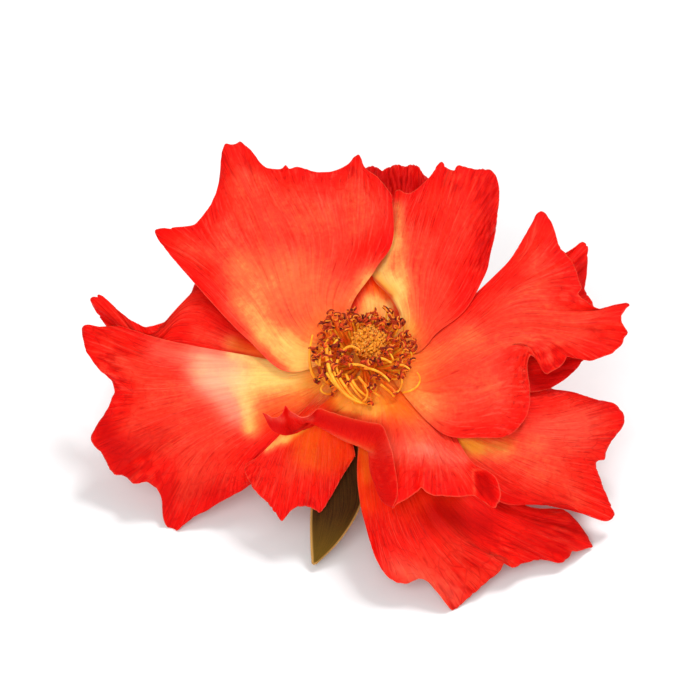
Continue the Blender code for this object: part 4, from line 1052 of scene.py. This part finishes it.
# Hip
# The green swelling under the flower, with the orange disc that the petals and stamens grow on.
# Firm living tissue, smooth and slightly waxy, in one piece with the stem in the real flower.
HIP_OUTLINE = [
    (0.0, 1.0), (0.7, 1.0), (1.3, 0.9), (2.0, 0.68), (2.7, 0.4), (3.8, -0.35), (4.9, -1.15),
    (5.1, -1.32), (5.1, -1.5), (4.8, -1.72), (4.4, -1.9), (3.8, -2.15), (3.42, -2.5), (3.5, -3.2),
    (3.8, -4.0), (4.05, -4.9), (4.1, -5.7), (3.95, -6.8), (3.6, -7.9), (3.1, -8.9), (2.5, -9.8),
    (2.0, -10.4), (1.7, -10.75), (1.2, -10.8), (0.0, -10.8),
]
DISC_ORANGE = (0.95, 0.36, 0.03)
HIP_GREENS = ((0.055, 0.12, 0.018), (0.12, 0.21, 0.035))
HIP_BLUSH = (0.20, 0.05, 0.03)
hip = bmesh.new()
outline = [hip.verts.new(around(0.0, radius * MM, height * MM)) for radius, height in HIP_OUTLINE]
strands = [hip.edges.new(pair) for pair in zip(outline, outline[1:])]
bmesh.ops.spin(hip, geom=outline + strands, cent=CENTRE, axis=AXIS, dvec=(0, 0, 0),
               angle=2 * math.pi, steps=64, use_merge=True, use_duplicate=False)
bmesh.ops.remove_doubles(hip, verts=hip.verts, dist=0.000004)
hip_skin, place = new_material("hip skin")
above = put("ShaderNodeVectorMath", {0: place, 1: tuple(AXIS)}, operation="DOT_PRODUCT").outputs["Value"]
level = float(CENTRE.dot(AXIS))
green = blend(spread(noise_value(place, 500.0, 3.0), 0.3, 0.7), *HIP_GREENS)
green = blend(spread(above, level - 0.0030, level - 0.0105, 0.35, 0.0), green, HIP_BLUSH)
finish(hip_skin, {
    "Base Color": blend(spread(above, level - 0.0016, level - 0.0009), green, DISC_ORANGE),
    "Normal": relief_of(noise_value(place, 2600.0, 3.0), 0.5, 0.00012),
    "Roughness": 0.38, "Subsurface Weight": 0.1, "Subsurface Scale": 0.001})
hip_piece = close_up(hip, "hip_body", [hip_skin])
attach(hip_piece, "root")
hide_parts("hip")

# Stem
# The short flower stalk, cut with a blade: green living tissue with fine bristles and a pale cut face.
# It grows out of the hip and bends back until the cut end lies on the floor.
STEM_RADIUS = 0.0014
STEM_PATH = [
    (0.0, 0.00325, 0.01040), (0.0001, 0.0042, 0.0075), (0.0004, 0.0061, 0.0049),
    (0.0008, 0.0090, 0.0029), (0.0013, 0.0130, 0.0018), (0.0018, 0.0176, 0.00143),
    (0.0024, 0.0225, 0.0014), (0.0030, 0.0270, 0.0014),
]
STEM_SWELL = 0.03
BRISTLES = 130
BRISTLE_LENGTHS = (0.0003, 0.0007)
BRISTLE_ROOT = 0.00006
BRISTLE_TIP = 0.00002
stem_points = np.array(STEM_PATH) + np.array((CENTRE.x, CENTRE.y, 0.0))
stem_marks = marks_along(stem_points)


def stem_course(share):
    return Vector(smooth(stem_points, stem_marks, np.array([share]))[0])


def stem_radius(share):
    return STEM_RADIUS * (1.0 + STEM_SWELL * math.sin(share * 23.0)) * (1.0 - STEM_SWELL)


stem = bmesh.new()
bent_rod(stem, stem_course, stem_radius, 24, 60)
for face in stem.faces:
    if len(face.verts) > 4:
        face.material_index = 1
rng = random.Random(9)
for _ in range(BRISTLES):
    share = rng.uniform(0.04, 0.93)
    side, other = crosswise(stem_course, share, (0.3, 0.2, 0.9))
    spin = rng.uniform(0.0, 2 * math.pi)
    out = side * math.cos(spin) + other * math.sin(spin)
    length = rng.uniform(*BRISTLE_LENGTHS)
    root = stem_course(share) + out * STEM_RADIUS * 0.95
    if (root + out * length).z < 0.0002:
        continue
    turn = out.to_track_quat("Z", "Y").to_matrix().to_4x4()
    bmesh.ops.create_cone(stem, cap_ends=True, segments=5, radius1=BRISTLE_ROOT, radius2=BRISTLE_TIP,
                          depth=length, matrix=Matrix.Translation(root + out * length / 2) @ turn)
stem_skin = plain_tissue("stem skin", (0.10, 0.17, 0.020), (0.24, 0.30, 0.045), 420.0, 0.42, 0.00004, 0.1)
stem_cut = plain_tissue("stem cut face", (0.42, 0.50, 0.20), (0.60, 0.62, 0.34), 2400.0, 0.7, 0.0001, 0.1)
stem_piece = close_up(stem, "stem_rod", [stem_skin, stem_cut])
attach(stem_piece, "root")
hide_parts("stem")

# Floor, light and camera
# A plain white floor in a soft bright room, with a small lamp above and behind the flower and a wide
# one in front of it. The camera looks along the layout's view, and its frame is the layout grid.
FLOOR_WHITES = ((0.92, 0.92, 0.92), (0.95, 0.95, 0.95))
LAMPS = {"key": ((0.20, 0.20, 0.66), 0.24, 2.85), "fill": ((-0.14, -0.56, 0.46), 0.46, 3.4)}
LAMPS_FACE = Vector((0, 0, 0.02))
FRAME_STEPS = 696
FRAME_MIDDLE = 348
floor_mesh = bmesh.new()
bmesh.ops.create_grid(floor_mesh, x_segments=1, y_segments=1, size=3.0)
floor_paint, place = new_material("floor white")
finish(floor_paint, {"Base Color": blend(noise_value(place, 260.0, 3.0), *FLOOR_WHITES), "Roughness": 0.8})
floor = close_up(floor_mesh, "floor", [floor_paint])

world = bpy.data.worlds.new("soft room")
world.use_nodes = True
fill(world.node_tree.nodes["Background"], {"Color": (1.0, 1.0, 1.0, 1.0), "Strength": 0.48})
bpy.context.scene.world = world
for label, (place, size, power) in LAMPS.items():
    lamp = bpy.data.lights.new(label, "AREA")
    lamp.size = size
    lamp.energy = power
    lamp_object = bpy.data.objects.new(label, lamp)
    lamp_object.location = place
    lamp_object.rotation_euler = (Vector(place) - LAMPS_FACE).to_track_quat("Z", "Y").to_euler()
    bpy.context.scene.collection.objects.link(lamp_object)

camera = bpy.data.cameras.new("camera")
camera.lens = 190.0
camera.sensor_width = 36.0
camera.clip_start = 0.01
camera_object = bpy.data.objects.new("camera", camera)
bpy.context.scene.collection.objects.link(camera_object)
aim = CENTRE + RIGHT * (FRAME_MIDDLE - GRID_X) * GRID + UP * (GRID_Y - FRAME_MIDDLE) * GRID
stand = Matrix((RIGHT, UP, NEAR)).transposed().to_4x4()
stand.translation = aim + NEAR * (FRAME_STEPS * GRID / camera.sensor_width * camera.lens)
camera_object.matrix_world = stand
bpy.context.scene.camera = camera_object
bpy.context.scene.view_settings.view_transform = "Standard"
